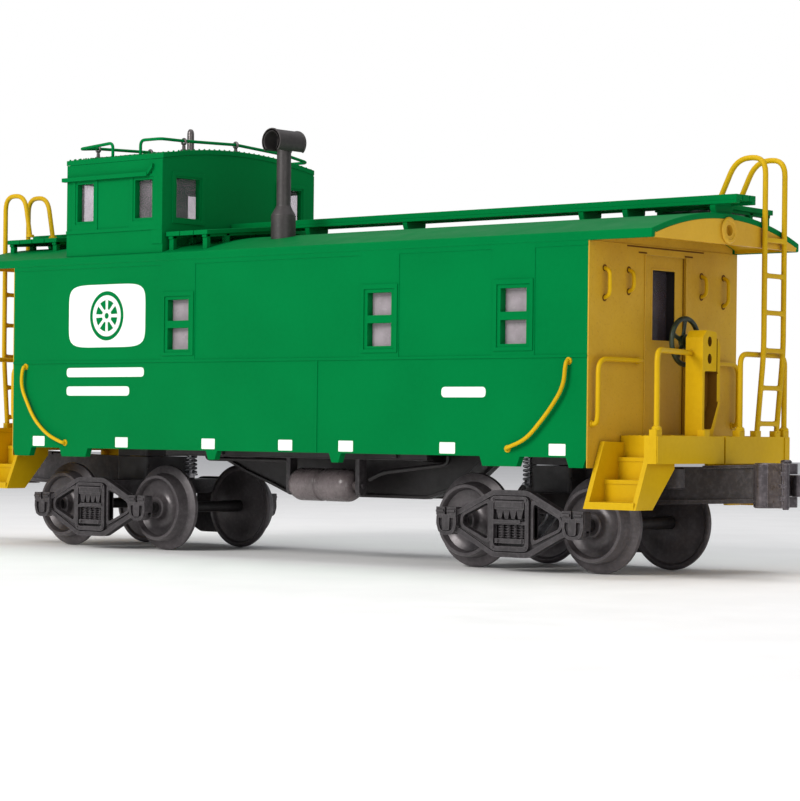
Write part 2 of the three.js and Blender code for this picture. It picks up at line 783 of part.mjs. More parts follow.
// Bolster, coupler arm and coupler head of the front truck, in car coordinates.
function truckBolster() {
  const cx = truck.centreX;
  const transom = block(
    [cx - 6.2, cx + 6.2],
    [-truck.frameInner + gap, truck.frameInner - gap],
    [12.2, 16.2],
  );
  const tower = block([cx - truck.towerX, cx + truck.towerX], [-truck.towerY, truck.towerY], [15, 22.5]);
  const screwHole = bar("z", 1.3, [5, 25], [cx, 0], 12);
  const screwSeat = bar("z", 2.8, [10, 14], [cx, 0], 16);
  const pickupLug = [-1, 1].map((side) =>
    block([cx - 8.6, cx - 5], between(side * 2.6, side * 3.8), [10.6, 14.6]),
  );
  const pickupHoles = bar("y", 0.6, [-5, 5], [cx - 7.4, 11.8], 10);
  const arm = prismY(
    [[cx + 5, 14.2], [101, 14.4], [124.5, 15.3], [124.5, 23.4], [112, 22.9], [cx + 5, 22.3]],
    [-coupler.armHalf, coupler.armHalf],
  );
  const spring = bar("z", 3.6, [15.6, 21.4], [105.6, 0], 18);
  const head = prismZ(
    [[coupler.head, -4.6], [127, -6], [137.6, -6.4], [137.6, -4.6], [131.4, -3.2], [129.8, -0.4],
      [129.8, 1.2], [133, 1.2], [134.2, 3.4], [133, 5.6], [129.6, 6.2], [125, 5], [coupler.head, 3.6]],
    [coupler.bottom, coupler.top],
  );
  const jaw = prismZ([[128.4, -0.6], [140, -3], [140, 9], [128.4, 9]], [16.4, 21.6]);
  const pinHole = bar("z", 0.8, [10, 30], [coupler.pinX, coupler.pinY], 12);
  const whole = join([transom, tower, arm, spring, head, ...pickupLug]);
  return cut(whole, [screwHole, screwSeat, jaw, pinHole, pickupHoles]);
}

// The jaw that swings open on the pin.
function knuckle() {
  const { pinX, pinY } = coupler;
  const shape = prismZ(
    [[129.2, 1.4], [131.2, 1], [135.4, 0.6], [136.2, -2], [137.8, -2.6], [139, -1.4], [139.2, 2.4],
      [137, 5], [133.4, 5.8], [130.2, 5.4], [129.2, 4]],
    [16.6, 21.4],
  );
  return cut(shape, [bar("z", 0.8, [10, 30], [pinX, pinY], 12)]);
}

function knucklePin() {
  const { pinX, pinY } = coupler;
  const shank = bar("z", 0.7, [13.4, 24.05], [pinX, pinY], 12);
  return shank.add(bar("z", 1.3, [24.05, 24.8], [pinX, pinY], 12));
}

function pivotScrew() {
  const shank = bar("z", 1.2, [13, 26.6], [truck.centreX, 0], 12);
  return shank.add(bar("z", 2.4, [12.3, 13.95], [truck.centreX, 0], 16));
}

const pickup = { hingeX: truck.centreX - 7.4, hingeZ: 11.8, rollerX: 57.6, rollerZ: 3.05, rollerR: 2.9 };

function pickupArm() {
  const { hingeX, hingeZ, rollerX, rollerZ } = pickup;
  const cheek = [
    [rollerX - 1.4, rollerZ - 0.9],
    [rollerX + 1.4, rollerZ - 0.9],
    [hingeX + 1, hingeZ - 2],
    [hingeX + 1, hingeZ + 1],
    [hingeX - 1, hingeZ + 1],
    [rollerX - 1.4, rollerZ + 1],
  ];
  const cheeks = [[-2.4, -1.6], [1.6, 2.4]].map((range) => prismY(cheek, range));
  const bridge = block([hingeX - 2.4, hingeX - 0.6], [-2, 2], [hingeZ - 1.4, hingeZ - 0.4]);
  const pivot = bar("y", 0.5, [-3.8, 3.8], [hingeX, hingeZ], 10);
  const spindle = bar("y", 0.4, [-2, 2], [rollerX, rollerZ], 8);
  return join([...cheeks, bridge, pivot, spindle]);
}

function pickupRoller() {
  const roller = turned(
    [[0.5, -1.5], [pickup.rollerR, -1.5], [pickup.rollerR, 1.5], [0.5, 1.5], [0.5, -1.5]],
    20,
  );
  return roller.rotate([-90, 0, 0]).translate([pickup.rollerX, 0, pickup.rollerZ]);
}

// ---------------------------------------------------------------- assembly

const caboose = new THREE.Group();
caboose.name = "model_caboose";
const car = new THREE.Group();
car.position.z = railTop;
caboose.add(car);

function place(name, shape, material, group = car) {
  const mesh = new THREE.Mesh(geometryOf(shape), material);
  mesh.name = name;
  group.add(mesh);
  return mesh;
}

place("body_shell", bodyShell(), green);
place("roof_shell", roofShell(), green);
place("cupola_shell", cupolaShell(), green);
place("cupola_roof", cupolaRoof(), green);
place("chassis_floor", chassisFloor(), black);
place("roofwalk_front", frontRoofwalk(), green);
place("roofwalk_rear", rearRoofwalk(), green);
place("smokejack", smokejack(), smokeGrey);
place("air_tank", airTank(), tankGrey);
place("lamp_bulb", lampBulb(), lampGlass);
place("side_glazing_right", sideGlazing(), glass);
place("side_glazing_left", mirrorY(sideGlazing()), glass);
place("cupola_glazing", cupolaGlazing(), glass);
place("cupola_rail_front", cupolaRail(-43.4, -51.5, [-43.4, -27.9, 106.7]), green);
place("cupola_rail_rear", cupolaRail(-77, -62.3, [-76, -27, 106]), green);
place("side_grab_front_right", sideGrab(frontGrab), yellow);
place("side_grab_front_left", mirrorY(sideGrab(frontGrab)), yellow);
place("side_grab_rear_right", sideGrab(rearGrab), yellow);
place("side_grab_rear_left", mirrorY(sideGrab(rearGrab)), yellow);

const ladders = {
  front: endLadder(ladder.places.front, [104, 84.6]),
  rear: endLadder(ladder.places.rear, [107.2, 84.4]),
};

for (const end of ["front", "rear"]) {
  const turn = end === "front" ? (part) => part : turnRound;
  place(`door_glazing_${end}`, turn(doorGlazing()), glass);
  place(`platform_${end}`, turn(endPlatform(ladder.places[end])), yellow);
  place(`railing_${end}_right`, turn(end === "front" ? standRailing() : hoopRailing()), yellow);
  place(`railing_${end}_left`, turn(end === "front" ? hoopRailing() : standRailing()), yellow);
  place(`ladder_${end}`, turn(ladders[end]), yellow);
  place(`brake_stand_${end}`, turn(brakeStand()), yellow);
  place(`brake_wheel_${end}`, turn(brakeWheel()), wheelGreen);
}

for (const end of ["front", "rear"]) {
  const truckGroup = new THREE.Group();
  if (end === "rear") truckGroup.rotation.z = Math.PI;
  car.add(truckGroup);
  place(`truck_bolster_${end}`, truckBolster(), darkGrey, truckGroup);
  place(`knuckle_${end}`, knuckle(), darkGrey, truckGroup);
  place(`knuckle_pin_${end}`, knucklePin(), steel, truckGroup);
  place(`pivot_screw_${end}`, pivotScrew(), steel, truckGroup);
  const [plusY, minusY] = end === "rear" ? ["right", "left"] : ["left", "right"];
  const frames = [
    place(`side_frame_${end}_${plusY}`, sideFrame(), darkGrey, truckGroup),
    place(`side_frame_${end}_${minusY}`, mirrorY(sideFrame()), darkGrey, truckGroup),
  ];
  for (const frame of frames) frame.position.x = truck.centreX;
  for (const [where, side] of [["outer", 1], ["inner", -1]]) {
    const axleGroup = new THREE.Group();
    axleGroup.position.set(truck.centreX + side * truck.halfWheelbase, 0, truck.axleZ);
    truckGroup.add(axleGroup);
    place(`axle_${end}_${where}`, axleSolid(), steel, axleGroup);
    place(`wheel_${end}_${where}_${plusY}`, wheelSolid(), darkGrey, axleGroup);
    place(`wheel_${end}_${where}_${minusY}`, mirrorY(wheelSolid()), darkGrey, axleGroup);
  }
}

place("pickup_arm", pickupArm(), steel);
place("pickup_roller", pickupRoller(), steel);

export default caboose;
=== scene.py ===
import json
import math

import bmesh
import bpy
from mathutils import Matrix, Vector


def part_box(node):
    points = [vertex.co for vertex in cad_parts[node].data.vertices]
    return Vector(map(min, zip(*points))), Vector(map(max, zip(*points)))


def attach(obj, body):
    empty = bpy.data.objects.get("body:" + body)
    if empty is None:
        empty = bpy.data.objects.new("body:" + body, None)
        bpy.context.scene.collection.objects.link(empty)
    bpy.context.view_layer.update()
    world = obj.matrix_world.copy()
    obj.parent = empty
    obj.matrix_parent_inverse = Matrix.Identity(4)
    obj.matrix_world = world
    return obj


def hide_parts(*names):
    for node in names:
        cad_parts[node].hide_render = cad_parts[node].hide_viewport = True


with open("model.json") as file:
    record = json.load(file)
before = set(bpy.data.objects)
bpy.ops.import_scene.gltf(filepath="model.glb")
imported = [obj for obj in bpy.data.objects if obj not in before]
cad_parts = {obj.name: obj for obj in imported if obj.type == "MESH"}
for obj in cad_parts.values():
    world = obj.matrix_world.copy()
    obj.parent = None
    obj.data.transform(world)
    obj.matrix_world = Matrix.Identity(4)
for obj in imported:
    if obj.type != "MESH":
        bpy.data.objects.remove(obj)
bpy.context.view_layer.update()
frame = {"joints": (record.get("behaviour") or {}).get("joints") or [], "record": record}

# The visible pieces of a model caboose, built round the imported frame.
# Shapes are worked out in millimetres and written to the meshes in metres.
# +X is the front end, +Y the left side, +Z up. Heights are above the top of the rails;
# piece() lifts everything by RAIL_TOP, so that the wheel flanges stand on z = 0.

NODE_BODY = {
    node: body
    for body, nodes in frame["record"]["behaviour"]["bodies"].items()
    for node in nodes
}
MM = 0.001
RAIL_TOP = 2.45
SHARP_ANGLE = math.radians(38)

TURN = Matrix.Rotation(math.pi, 4, "Z")
MIRROR = Matrix.Scale(-1, 4, (0, 1, 0))
ENDS = {"front": Matrix.Identity(4), "rear": TURN}


def box_mm(node):
    """The corners of a CAD node, in millimetres."""
    low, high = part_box(node)
    return low / MM, high / MM


# ---------------------------------------------------------------- outlines

def rounded(points, radius, steps=4):
    """The outline with its corners rounded as far as its edges allow."""
    result = []
    for i, point in enumerate(points):
        corner = Vector(point)
        before = Vector(points[i - 1])
        after = Vector(points[(i + 1) % len(points)])
        start = corner.lerp(before, min(radius / (before - corner).length, 0.45))
        end = corner.lerp(after, min(radius / (after - corner).length, 0.45))
        for k in range(steps + 1):
            t = k / steps
            result.append(tuple(start * (1 - t) ** 2 + corner * 2 * t * (1 - t) + end * t ** 2))
    return result


def inset(points, depth):
    """The outline moved inward by depth; its points run anticlockwise."""
    result = []
    for i, point in enumerate(points):
        corner = Vector(point)
        along = (corner - Vector(points[i - 1])).normalized()
        onward = (Vector(points[(i + 1) % len(points)]) - corner).normalized()
        normal = Vector((-along.y, along.x))
        following = Vector((-onward.y, onward.x))
        half = (normal + following).normalized()
        result.append(tuple(corner + half * depth / max(half.dot(normal), 0.3)))
    return result


def rectangle(u, v):
    return [(u[0], v[0]), (u[1], v[0]), (u[1], v[1]), (u[0], v[1])]


def circle(radius, sides, centre=(0, 0)):
    step = 2 * math.pi / sides
    return [
        (centre[0] + radius * math.cos(i * step), centre[1] + radius * math.sin(i * step))
        for i in range(sides)
    ]


def on_axis(axis, along, u, v):
    return {"x": (along, u, v), "y": (u, along, v), "z": (u, v, along)}[axis]


# ---------------------------------------------------------------- solid shapes

class Part:
    """The closed shells that make up one piece, in millimetres."""

    def __init__(self):
        self.bm = bmesh.new()

    def loft(self, rings, loop=False):
        """A shell through the rings; a ring of one point is a tip."""
        rows = [[self.bm.verts.new(point) for point in ring] for ring in rings]
        pairs = list(zip(rows, rows[1:]))
        if loop:
            pairs.append((rows[-1], rows[0]))
        for a, b in pairs:
            count = max(len(a), len(b))
            for i in range(count):
                j = (i + 1) % count
                if len(a) == 1:
                    self.bm.faces.new((a[0], b[j], b[i]))
                elif len(b) == 1:
                    self.bm.faces.new((a[i], a[j], b[0]))
                else:
                    self.bm.faces.new((a[i], a[j], b[j], b[i]))
        if not loop:
            for row in (rows[0], rows[-1]):
                if len(row) > 2:
                    self.bm.faces.new(row)
        return self

    def prism(self, axis, points, stations):
        """An outline carried along an axis through two or more stations."""
        return self.loft([[on_axis(axis, a, u, v) for u, v in points] for a in stations])

    def ring(self, axis, outer, inner, stations):
        """A frame between two outlines of as many points each."""
        a, b = stations
        loops = [(outer, a), (outer, b), (inner, b), (inner, a)]
        return self.loft([[on_axis(axis, at, u, v) for u, v in points] for points, at in loops], loop=True)

    def box(self, x, y, z):
        return self.prism("z", rectangle(x, y), z)

    def rod(self, axis, radius, span, centre, sides=24, end_radius=None):
        end = radius if end_radius is None else end_radius
        return self.loft([
            [on_axis(axis, a, u, v) for u, v in circle(r, sides, centre)]
            for a, r in zip(span, (radius, end))
        ])

    def lathe(self, axis, profile, centre=(0, 0), sides=48, loop=False):
        """(radius, height) points turned round an axis."""
        rings = []
        for radius, height in profile:
            count = sides if radius > 0 else 1
            rings.append([on_axis(axis, height, u, v) for u, v in circle(radius, count, centre)])
        return self.loft(rings, loop)

    def ball(self, radius, centre, sides=20):
        x, y, z = centre
        turns = [math.pi * i / 10 for i in range(11)]
        profile = [(radius * math.sin(t), z - radius * math.cos(t)) for t in turns]
        profile[0], profile[-1] = (0, z - radius), (0, z + radius)
        return self.lathe("z", profile, (x, y), sides)

    def coil(self, axis, radius, wire, span, centre, turns):
        """A closely wound spring."""
        low, high = span
        steps = turns * 16
        points = []
        for i in range(steps + 1):
            angle = 2 * math.pi * i / 16
            u = centre[0] + radius * math.cos(angle)
            v = centre[1] + radius * math.sin(angle)
            points.append(on_axis(axis, low + (high - low) * i / steps, u, v))
        return self.tube(points, wire, bend=0, sides=8)

    def tube(self, points, radius, bend=1.5, sides=14, steps=6):
        """A wire through the points, with its corners rounded and its ends eased."""
        path = [Vector(points[0])]
        for i in range(1, len(points) - 1):
            corner, last, following = Vector(points[i]), Vector(points[i - 1]), Vector(points[i + 1])
            if bend == 0:
                path.append(corner)
                continue
            start = corner.lerp(last, min(bend / (last - corner).length, 0.45))
            end = corner.lerp(following, min(bend / (following - corner).length, 0.45))
            for k in range(steps + 1):
                t = k / steps
                path.append(start * (1 - t) ** 2 + corner * 2 * t * (1 - t) + end * t ** 2)
        path.append(Vector(points[-1]))
        heading = (path[1] - path[0]).normalized()
        side = heading.orthogonal().normalized()
        sections = []
        for i, point in enumerate(path):
            following = (path[min(i + 1, len(path) - 1)] - path[max(i - 1, 0)]).normalized()
            side = heading.rotation_difference(following) @ side
            side = (side - following * side.dot(following)).normalized()
            heading = following
            sections.append((point, heading, side))
        ease = radius * 0.3
        first, last = sections[0], sections[-1]
        rings = [(first[0], first[1], first[2], radius - ease)]
        rings.append((first[0] + first[1] * ease, first[1], first[2], radius))
        rings += [(*section, radius) for section in sections[1:-1]]
        rings.append((last[0] - last[1] * ease, last[1], last[2], radius))
        rings.append((last[0], last[1], last[2], radius - ease))
        return self.loft([
            [point + side * u + heading.cross(side) * v for u, v in circle(r, sides)]
            for point, heading, side, r in rings
        ])

    def moved(self, matrix):
        """A copy of this part, moved, turned or mirrored."""
        copy = Part()
        copy.bm = self.bm.copy()
        bmesh.ops.transform(copy.bm, matrix=matrix, verts=copy.bm.verts)
        return copy

    def add(self, *others):
        for other in others:
            mesh = bpy.data.meshes.new("joining")
            other.bm.to_mesh(mesh)
            self.bm.from_mesh(mesh)
            bpy.data.meshes.remove(mesh)
        return self

    def cut(self, tools):
        """This part with the tools taken out, and its own overlapping shells fused."""
        target, tool = self.as_object(), tools.as_object()
        boolean = target.modifiers.new("cut", "BOOLEAN")
        boolean.operation = "DIFFERENCE"
        boolean.solver = "EXACT"
        boolean.use_self = True
        boolean.object = tool
        graph = bpy.context.evaluated_depsgraph_get()
        mesh = bpy.data.meshes.new_from_object(target.evaluated_get(graph))
        result = Part()
        result.bm.from_mesh(mesh)
        for item in (target, tool):
            bpy.data.objects.remove(item)
        bpy.data.meshes.remove(mesh)
        bmesh.ops.remove_doubles(result.bm, verts=result.bm.verts, dist=0.003)
        bmesh.ops.dissolve_limit(
            result.bm, angle_limit=math.radians(0.4), verts=result.bm.verts, edges=result.bm.edges
        )
        return result

    def as_object(self):
        bmesh.ops.recalc_face_normals(self.bm, faces=self.bm.faces)
        mesh = bpy.data.meshes.new("tool")
        self.bm.to_mesh(mesh)
        item = bpy.data.objects.new("tool", mesh)
        bpy.context.scene.collection.objects.link(item)
        return item


def piece(name, part, materials, node=None, on=None, bevel=0.15, segments=2, pick=None):
    """Makes one visible piece. It stands for the node, or only rides where that node rides."""
    part = part.moved(Matrix.Scale(MM, 4) @ Matrix.Translation((0, 0, RAIL_TOP)))
    bmesh.ops.recalc_face_normals(part.bm, faces=part.bm.faces)
    mesh = bpy.data.meshes.new(name)
    part.bm.to_mesh(mesh)
    materials = materials if isinstance(materials, list) else [materials]
    for material in materials:
        mesh.materials.append(material)
    for polygon in mesh.polygons:
        polygon.use_smooth = True
        if pick:
            polygon.material_index = pick(polygon.center / MM - Vector((0, 0, RAIL_TOP)), polygon.normal)
    mesh.set_sharp_from_angle(angle=SHARP_ANGLE)
    item = bpy.data.objects.new(name, mesh)
    bpy.context.scene.collection.objects.link(item)
    if bevel:
        edges = item.modifiers.new("edges", "BEVEL")
        edges.width = bevel * MM
        edges.segments = segments
        edges.limit_method = "ANGLE"
        edges.angle_limit = SHARP_ANGLE
        edges.miter_outer = "MITER_ARC"
        normals = item.modifiers.new("normals", "WEIGHTED_NORMAL")
        normals.keep_sharp = True
    home = node or on
    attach(item, NODE_BODY[home])
    if node:
        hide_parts(node)
    return item


# ---------------------------------------------------------------- materials

def srgb(red, green, blue):
    """A linear colour from 0 to 255 display values."""
    def linear(value):
        value /= 255
        return value / 12.92 if value <= 0.04045 else ((value + 0.055) / 1.055) ** 2.4
    return (linear(red), linear(green), linear(blue), 1)


class Surface:
    """One procedural material, built from noise in the object's own coordinates."""

    def __init__(self, name):
        self.material = bpy.data.materials.new(name)
        self.material.use_nodes = True
        self.tree = self.material.node_tree
        self.tree.nodes.clear()
        self.shader = self.node("ShaderNodeBsdfPrincipled")
        self.output = self.node("ShaderNodeOutputMaterial")
        self.link(self.shader.outputs["BSDF"], self.output.inputs["Surface"])
        self.place = self.node("ShaderNodeTexCoord").outputs["Object"]

    def node(self, kind, **values):
        made = self.tree.nodes.new(kind)
        for key, value in values.items():
            setattr(made, key, value)
        return made

    def link(self, output, target):
        self.tree.links.new(output, target)

    def noise(self, size, detail=3.0, stretch=(1, 1, 1)):
        """Noise whose features are about size millimetres across."""
        mapping = self.node("ShaderNodeMapping")
        mapping.inputs["Scale"].default_value = stretch
        self.link(self.place, mapping.inputs["Vector"])
        made = self.node("ShaderNodeTexNoise")
        made.inputs["Scale"].default_value = 1 / (size * MM)
        made.inputs["Detail"].default_value = detail
        self.link(mapping.outputs["Vector"], made.inputs["Vector"])
        return made.outputs["Fac"]

    def span(self, value, low, high, to_low, to_high):
        made = self.node("ShaderNodeMapRange")
        limits = {"From Min": low, "From Max": high, "To Min": to_low, "To Max": to_high}
        for key, number in limits.items():
            made.inputs[key].default_value = number
        self.link(value, made.inputs["Value"])
        return made.outputs["Result"]

    def mix(self, factor, a, b, blend="MIX"):
        made = self.node("ShaderNodeMix", data_type="RGBA", blend_type=blend)
        for index, item in ((0, factor), (6, a), (7, b)):
            if isinstance(item, (tuple, float, int)):
                made.inputs[index].default_value = item
            else:
                self.link(item, made.inputs[index])
        return made.outputs[2]

    def painted_hollow_shade(self, colour, shade, reach, strength):
        """Painted shade: darkens the corners and hollows, found by ambient occlusion, toward the deep tone."""
        ao = self.node("ShaderNodeAmbientOcclusion", samples=4)
        ao.inputs["Distance"].default_value = reach * MM
        return self.mix(self.span(ao.outputs["AO"], 0.35, 0.95, strength, 0.0), colour, shade)

    def edges(self, colour, light, radius, strength):
        """Painted highlight: lightens the edges, found with the bevel normal, toward the light tone."""
        bevel = self.node("ShaderNodeBevel", samples=4)
        bevel.inputs["Radius"].default_value = radius * MM
        geometry = self.node("ShaderNodeNewGeometry")
        dot = self.node("ShaderNodeVectorMath", operation="DOT_PRODUCT")
        self.link(bevel.outputs["Normal"], dot.inputs[0])
        self.link(geometry.outputs["Normal"], dot.inputs[1])
        return self.mix(self.span(dot.outputs["Value"], 0.99, 0.8, 0.0, strength), colour, light)

    def bump(self, height, depth, strength=1.0):
        made = self.node("ShaderNodeBump")
        made.inputs["Distance"].default_value = depth * MM
        made.inputs["Strength"].default_value = strength
        self.link(height, made.inputs["Height"])
        self.link(made.outputs["Normal"], self.shader.inputs["Normal"])

    def finish(self, colour, roughness, metallic=0.0, specular=0.5, tint=(1, 1, 1, 1)):
        self.link(colour, self.shader.inputs["Base Color"])
        self.link(roughness, self.shader.inputs["Roughness"])
        self.shader.inputs["Metallic"].default_value = metallic
        self.shader.inputs["Specular IOR Level"].default_value = specular
        self.shader.inputs["Specular Tint"].default_value = tint
        return self.material


def paint(name, colour, deep, light, grain=0.55, depth=0.01, rough=(0.36, 0.5), speckle=0.0,
          specular=0.4, tint=(1, 1, 1, 1)):
    """Sprayed paint on moulded plastic or die-cast metal."""
    s = Surface(name)
    tone = s.mix(s.span(s.noise(26, 2.0), 0.35, 0.65, 0.0, 0.35), colour, deep)
    tone = s.mix(s.span(s.noise(1.1, 4.0), 0.3, 0.7, 0.0, 0.14), tone, light)
    if speckle:
        dots = s.span(s.noise(0.6, 3.0), 0.6, 0.7, 0.0, speckle)
        tone = s.mix(dots, tone, deep)
    # Painted shade in the corners and hollows.
    tone = s.painted_hollow_shade(tone, deep, 1.6, 0.6)
    # Painted highlight along the edges.
    tone = s.edges(tone, light, 0.22, 0.5)
    s.bump(s.noise(grain, 3.0), depth)
    return s.finish(tone, s.span(s.noise(7, 4.0), 0.3, 0.7, *rough), specular=specular, tint=tint)


def casting(name, colour, deep, light, metallic=0.0, rough=(0.38, 0.55), depth=0.02, specular=0.5):
    """Blackened or grey castings, with a slightly sandy skin, painted shade in the hollows and painted
    highlights on the edges.
    """
    s = Surface(name)
    tone = s.mix(s.span(s.noise(6, 4.0), 0.35, 0.7, 0.0, 0.5), colour, deep)
    tone = s.mix(s.span(s.noise(0.9, 3.0), 0.45, 0.75, 0.0, 0.22), tone, light)
    # Painted shade in the corners and hollows.
    tone = s.painted_hollow_shade(tone, deep, 1.2, 0.7)
    # Painted highlight along the edges.
    tone = s.edges(tone, light, 0.2, 0.6)
    s.bump(s.noise(0.4, 4.0), depth)
    return s.finish(tone, s.span(s.noise(2.2, 3.0), 0.3, 0.7, *rough), metallic, specular=specular)


def bright_metal(name, colour, dull):
    """Turned steel with fine lines round it."""
    s = Surface(name)
    lines = s.noise(0.25, 2.0, stretch=(1, 6, 1))
    tone = s.mix(s.span(s.noise(2, 3.0), 0.3, 0.7, 0.0, 0.6), colour, dull)
    s.bump(lines, 0.004)
    return s.finish(tone, s.span(lines, 0.3, 0.7, 0.24, 0.42), metallic=0.95)


def frosted(name, colour, milky, clear):
    """Thin window moulding: partly clear, partly milky."""
    s = Surface(name)
    tone = s.mix(s.span(s.noise(4, 3.0), 0.35, 0.65, 0.0, 1.0), colour, milky)
    s.bump(s.noise(1.8, 2.0), 0.006)
    material = s.finish(tone, s.span(s.noise(1.5, 3.0), 0.3, 0.7, 0.12, 0.3))
    see_through = s.node("ShaderNodeBsdfTransparent")
    see_through.inputs["Color"].default_value = (0.9, 0.88, 0.9, 1)
    blend = s.node("ShaderNodeMixShader")
    s.link(s.span(s.noise(9, 2.0), 0.3, 0.7, clear - 0.05, clear + 0.05), blend.inputs[0])
    s.link(s.shader.outputs["BSDF"], blend.inputs[1])
    s.link(see_through.outputs["BSDF"], blend.inputs[2])
    s.link(blend.outputs["Shader"], s.output.inputs["Surface"])
    return material


GREEN = paint(
    "sprayed_green", srgb(0, 116, 56), srgb(0, 101, 48), srgb(2, 127, 65), rough=(0.42, 0.55),
    specular=0.07,
    tint=(0.02, 0.6, 0.28, 1),
)
YELLOW = paint(
    "sprayed_yellow", srgb(212, 171, 10), srgb(164, 124, 8), srgb(230, 194, 36), depth=0.016, specular=0.3,
    tint=(1, 0.86, 0.35, 1),
)
END_YELLOW = paint(
    "speckled_yellow", srgb(210, 167, 38), srgb(140, 98, 16), srgb(222, 184, 60),
    grain=0.6, depth=0.045, rough=(0.4, 0.6), speckle=0.22, specular=0.3,
)
END_YELLOW_SMOOTH = paint(
    "shaded_yellow", srgb(220, 172, 40), srgb(156, 108, 20), srgb(232, 190, 62), depth=0.02, speckle=0.12,
    specular=0.3,
)
# Dark brown-yellow, painted as the shade inside the brake stand's channel, slot and sight holes.
CHANNEL_SHADE = paint("painted_channel_shade", srgb(128, 88, 26), srgb(84, 54, 14), srgb(150, 108, 36),
                      specular=0.2)
DARK_PAINT = paint("shadowed_paint", srgb(104, 66, 14), srgb(66, 40, 8), srgb(124, 82, 22), specular=0.1)
WHITE = paint("printed_white", srgb(240, 246, 238), srgb(214, 226, 212), srgb(250, 252, 248), depth=0.004)
BLACK = casting("moulded_black", srgb(34, 30, 31), srgb(18, 15, 16), srgb(58, 52, 53))
TRUCK = casting("cast_truck_grey", srgb(60, 56, 58), srgb(24, 21, 23), srgb(122, 116, 119), metallic=0.15)
WHEEL = casting("blackened_wheel", srgb(86, 81, 83), srgb(46, 42, 44), srgb(132, 126, 129), metallic=0.35,
                rough=(0.3, 0.45))
COUPLER = casting("coupler_metal", srgb(86, 80, 83), srgb(30, 27, 29), srgb(168, 160, 164), metallic=0.6,
                  rough=(0.26, 0.4))
# Dark metal for the axles, made darker still as painted shade for their place under the car.
SHADED_AXLE_STEEL = casting("blackened_axle_painted_shade", srgb(40, 37, 38), srgb(22, 20, 21), srgb(80, 76, 78), metallic=0.3)
TANK = casting("tank_grey", srgb(112, 102, 103), srgb(60, 54, 54), srgb(150, 140, 140), rough=(0.22, 0.32),
               depth=0.008)
STACK = casting("smoke_grey", srgb(57, 52, 52), srgb(32, 28, 28), srgb(88, 82, 80))
EYELET = casting("turned_eyelet", srgb(104, 98, 98), srgb(40, 38, 38), srgb(160, 154, 152), metallic=0.6,
                 rough=(0.25, 0.4))
HAND_WHEEL = casting("hand_wheel_green", srgb(26, 45, 31), srgb(9, 15, 10), srgb(92, 110, 74),
                     rough=(0.3, 0.5))
STEEL = bright_metal("turned_steel", srgb(178, 178, 182), srgb(132, 130, 134))
GLAZING = frosted("window_glazing", srgb(164, 155, 160), srgb(186, 176, 182), 0.3)
CLEAR_GLAZING = frosted("cupola_window_glazing", srgb(206, 196, 204), srgb(224, 216, 222), 0.86)
# Dark tint on the door pane: painted shade standing in for the dark inside of the car seen through the door
# window.
SHADED_DOOR_GLAZING = frosted("door_glazing_painted_shade", srgb(62, 55, 60), srgb(84, 76, 82), 0.35)
LAMP = frosted("lamp_glass", srgb(244, 234, 210), srgb(250, 244, 226), 0.3)

# ---------------------------------------------------------------- driving dimensions

JOINT_AT = {joint["name"]: Vector(joint["pos_m"]) / MM for joint in frame["joints"]}
AXLE = JOINT_AT["wheelset_front_outer_roll"]
TRUCK_X = JOINT_AT["truck_front_swivel"].x
WHEELBASE = 2 * (AXLE.x - TRUCK_X)
AXLE_Z = AXLE.z - RAIL_TOP
ROOF_Y = box_mm("roof_shell")[1].y
SILL_X = box_mm("platform_front")[1].x
WALK_X = box_mm("roofwalk_front")[1].x

BODY_X, BODY_Y, WALL = 99.5, 29.9, 1.8
FLOOR_Z, EAVE_Z, BELT_Z, SEAM_X = 24.8, 74.3, 48, 15.4
ROOF_X, ROOF_EDGE, ROOF_CROWN, ROOF_SHEET, EAVE_WALL = 117, 76.3, 81.6, 1.4, 1.3
CUPOLA_X, CUPOLA_Y, CUPOLA_WALL = (-79, -41.4), 28.9, 1.6
CUPOLA_EDGE, CUPOLA_CROWN, CUPOLA_SHEET, GUTTER_Z = 102.75, 105.4, 1.3, 97.5
WALK_Z, WALK_Y = (83.5, 85.6), 4
DECK_Z, SILL_Z = 30, 23.7
POST_X, POST_Y, PAD_Z = 115.9, (7.2, 26), 31.4
RAILING_Z, HAND_WHEEL_X, HAND_WHEEL_Z = 49.3, 105.2, 52.1
FRAME_Y = (22.4, 24.6)


class Arch:
    """The circle through a crown at y = 0 and an edge at y = half width."""

    def __init__(self, half, edge, crown):
        rise = crown - edge
        self.half = half
        self.radius = (half ** 2 + rise ** 2) / (2 * rise)
        self.centre = crown - self.radius

    def height(self, y, depth=0.0):
        return self.centre + math.sqrt((self.radius - depth) ** 2 - y ** 2)

    def points(self, half, depth=0.0, count=28):
        """[y, z] points from +half to -half, a depth below the surface."""
        places = [half * (1 - 2 * i / count) for i in range(count + 1)]
        return [(y, self.height(y, depth)) for y in places]

    def band(self, half, top, bottom):
        """The outline between two depths below the surface."""
        return self.points(half, top) + self.points(half, bottom)[::-1]


ROOF = Arch(ROOF_Y, ROOF_EDGE, ROOF_CROWN)
CUPOLA = Arch(CUPOLA_Y + 0.15, CUPOLA_EDGE, CUPOLA_CROWN)


def both_sides(part):
    return Part().add(part, part.moved(MIRROR))


def both_ends(part):
    return Part().add(part, part.moved(TURN))


# ---------------------------------------------------------------- car sides

SIDE_WINDOWS = (-34.1, 36.05, 77.7)
PANES = ((51, 56.6), (58.5, 64))
TABS = ((-99.2, -91.4), (-79.9, -68.6), (-23.4, -19.3), (19.8, 23.8), (67.9, 79.9), (93.4, 99.2))
REFLECTORS = (-88.4, -55.2, -22.5, 4.9, 25.4, 58.0, 90.9)


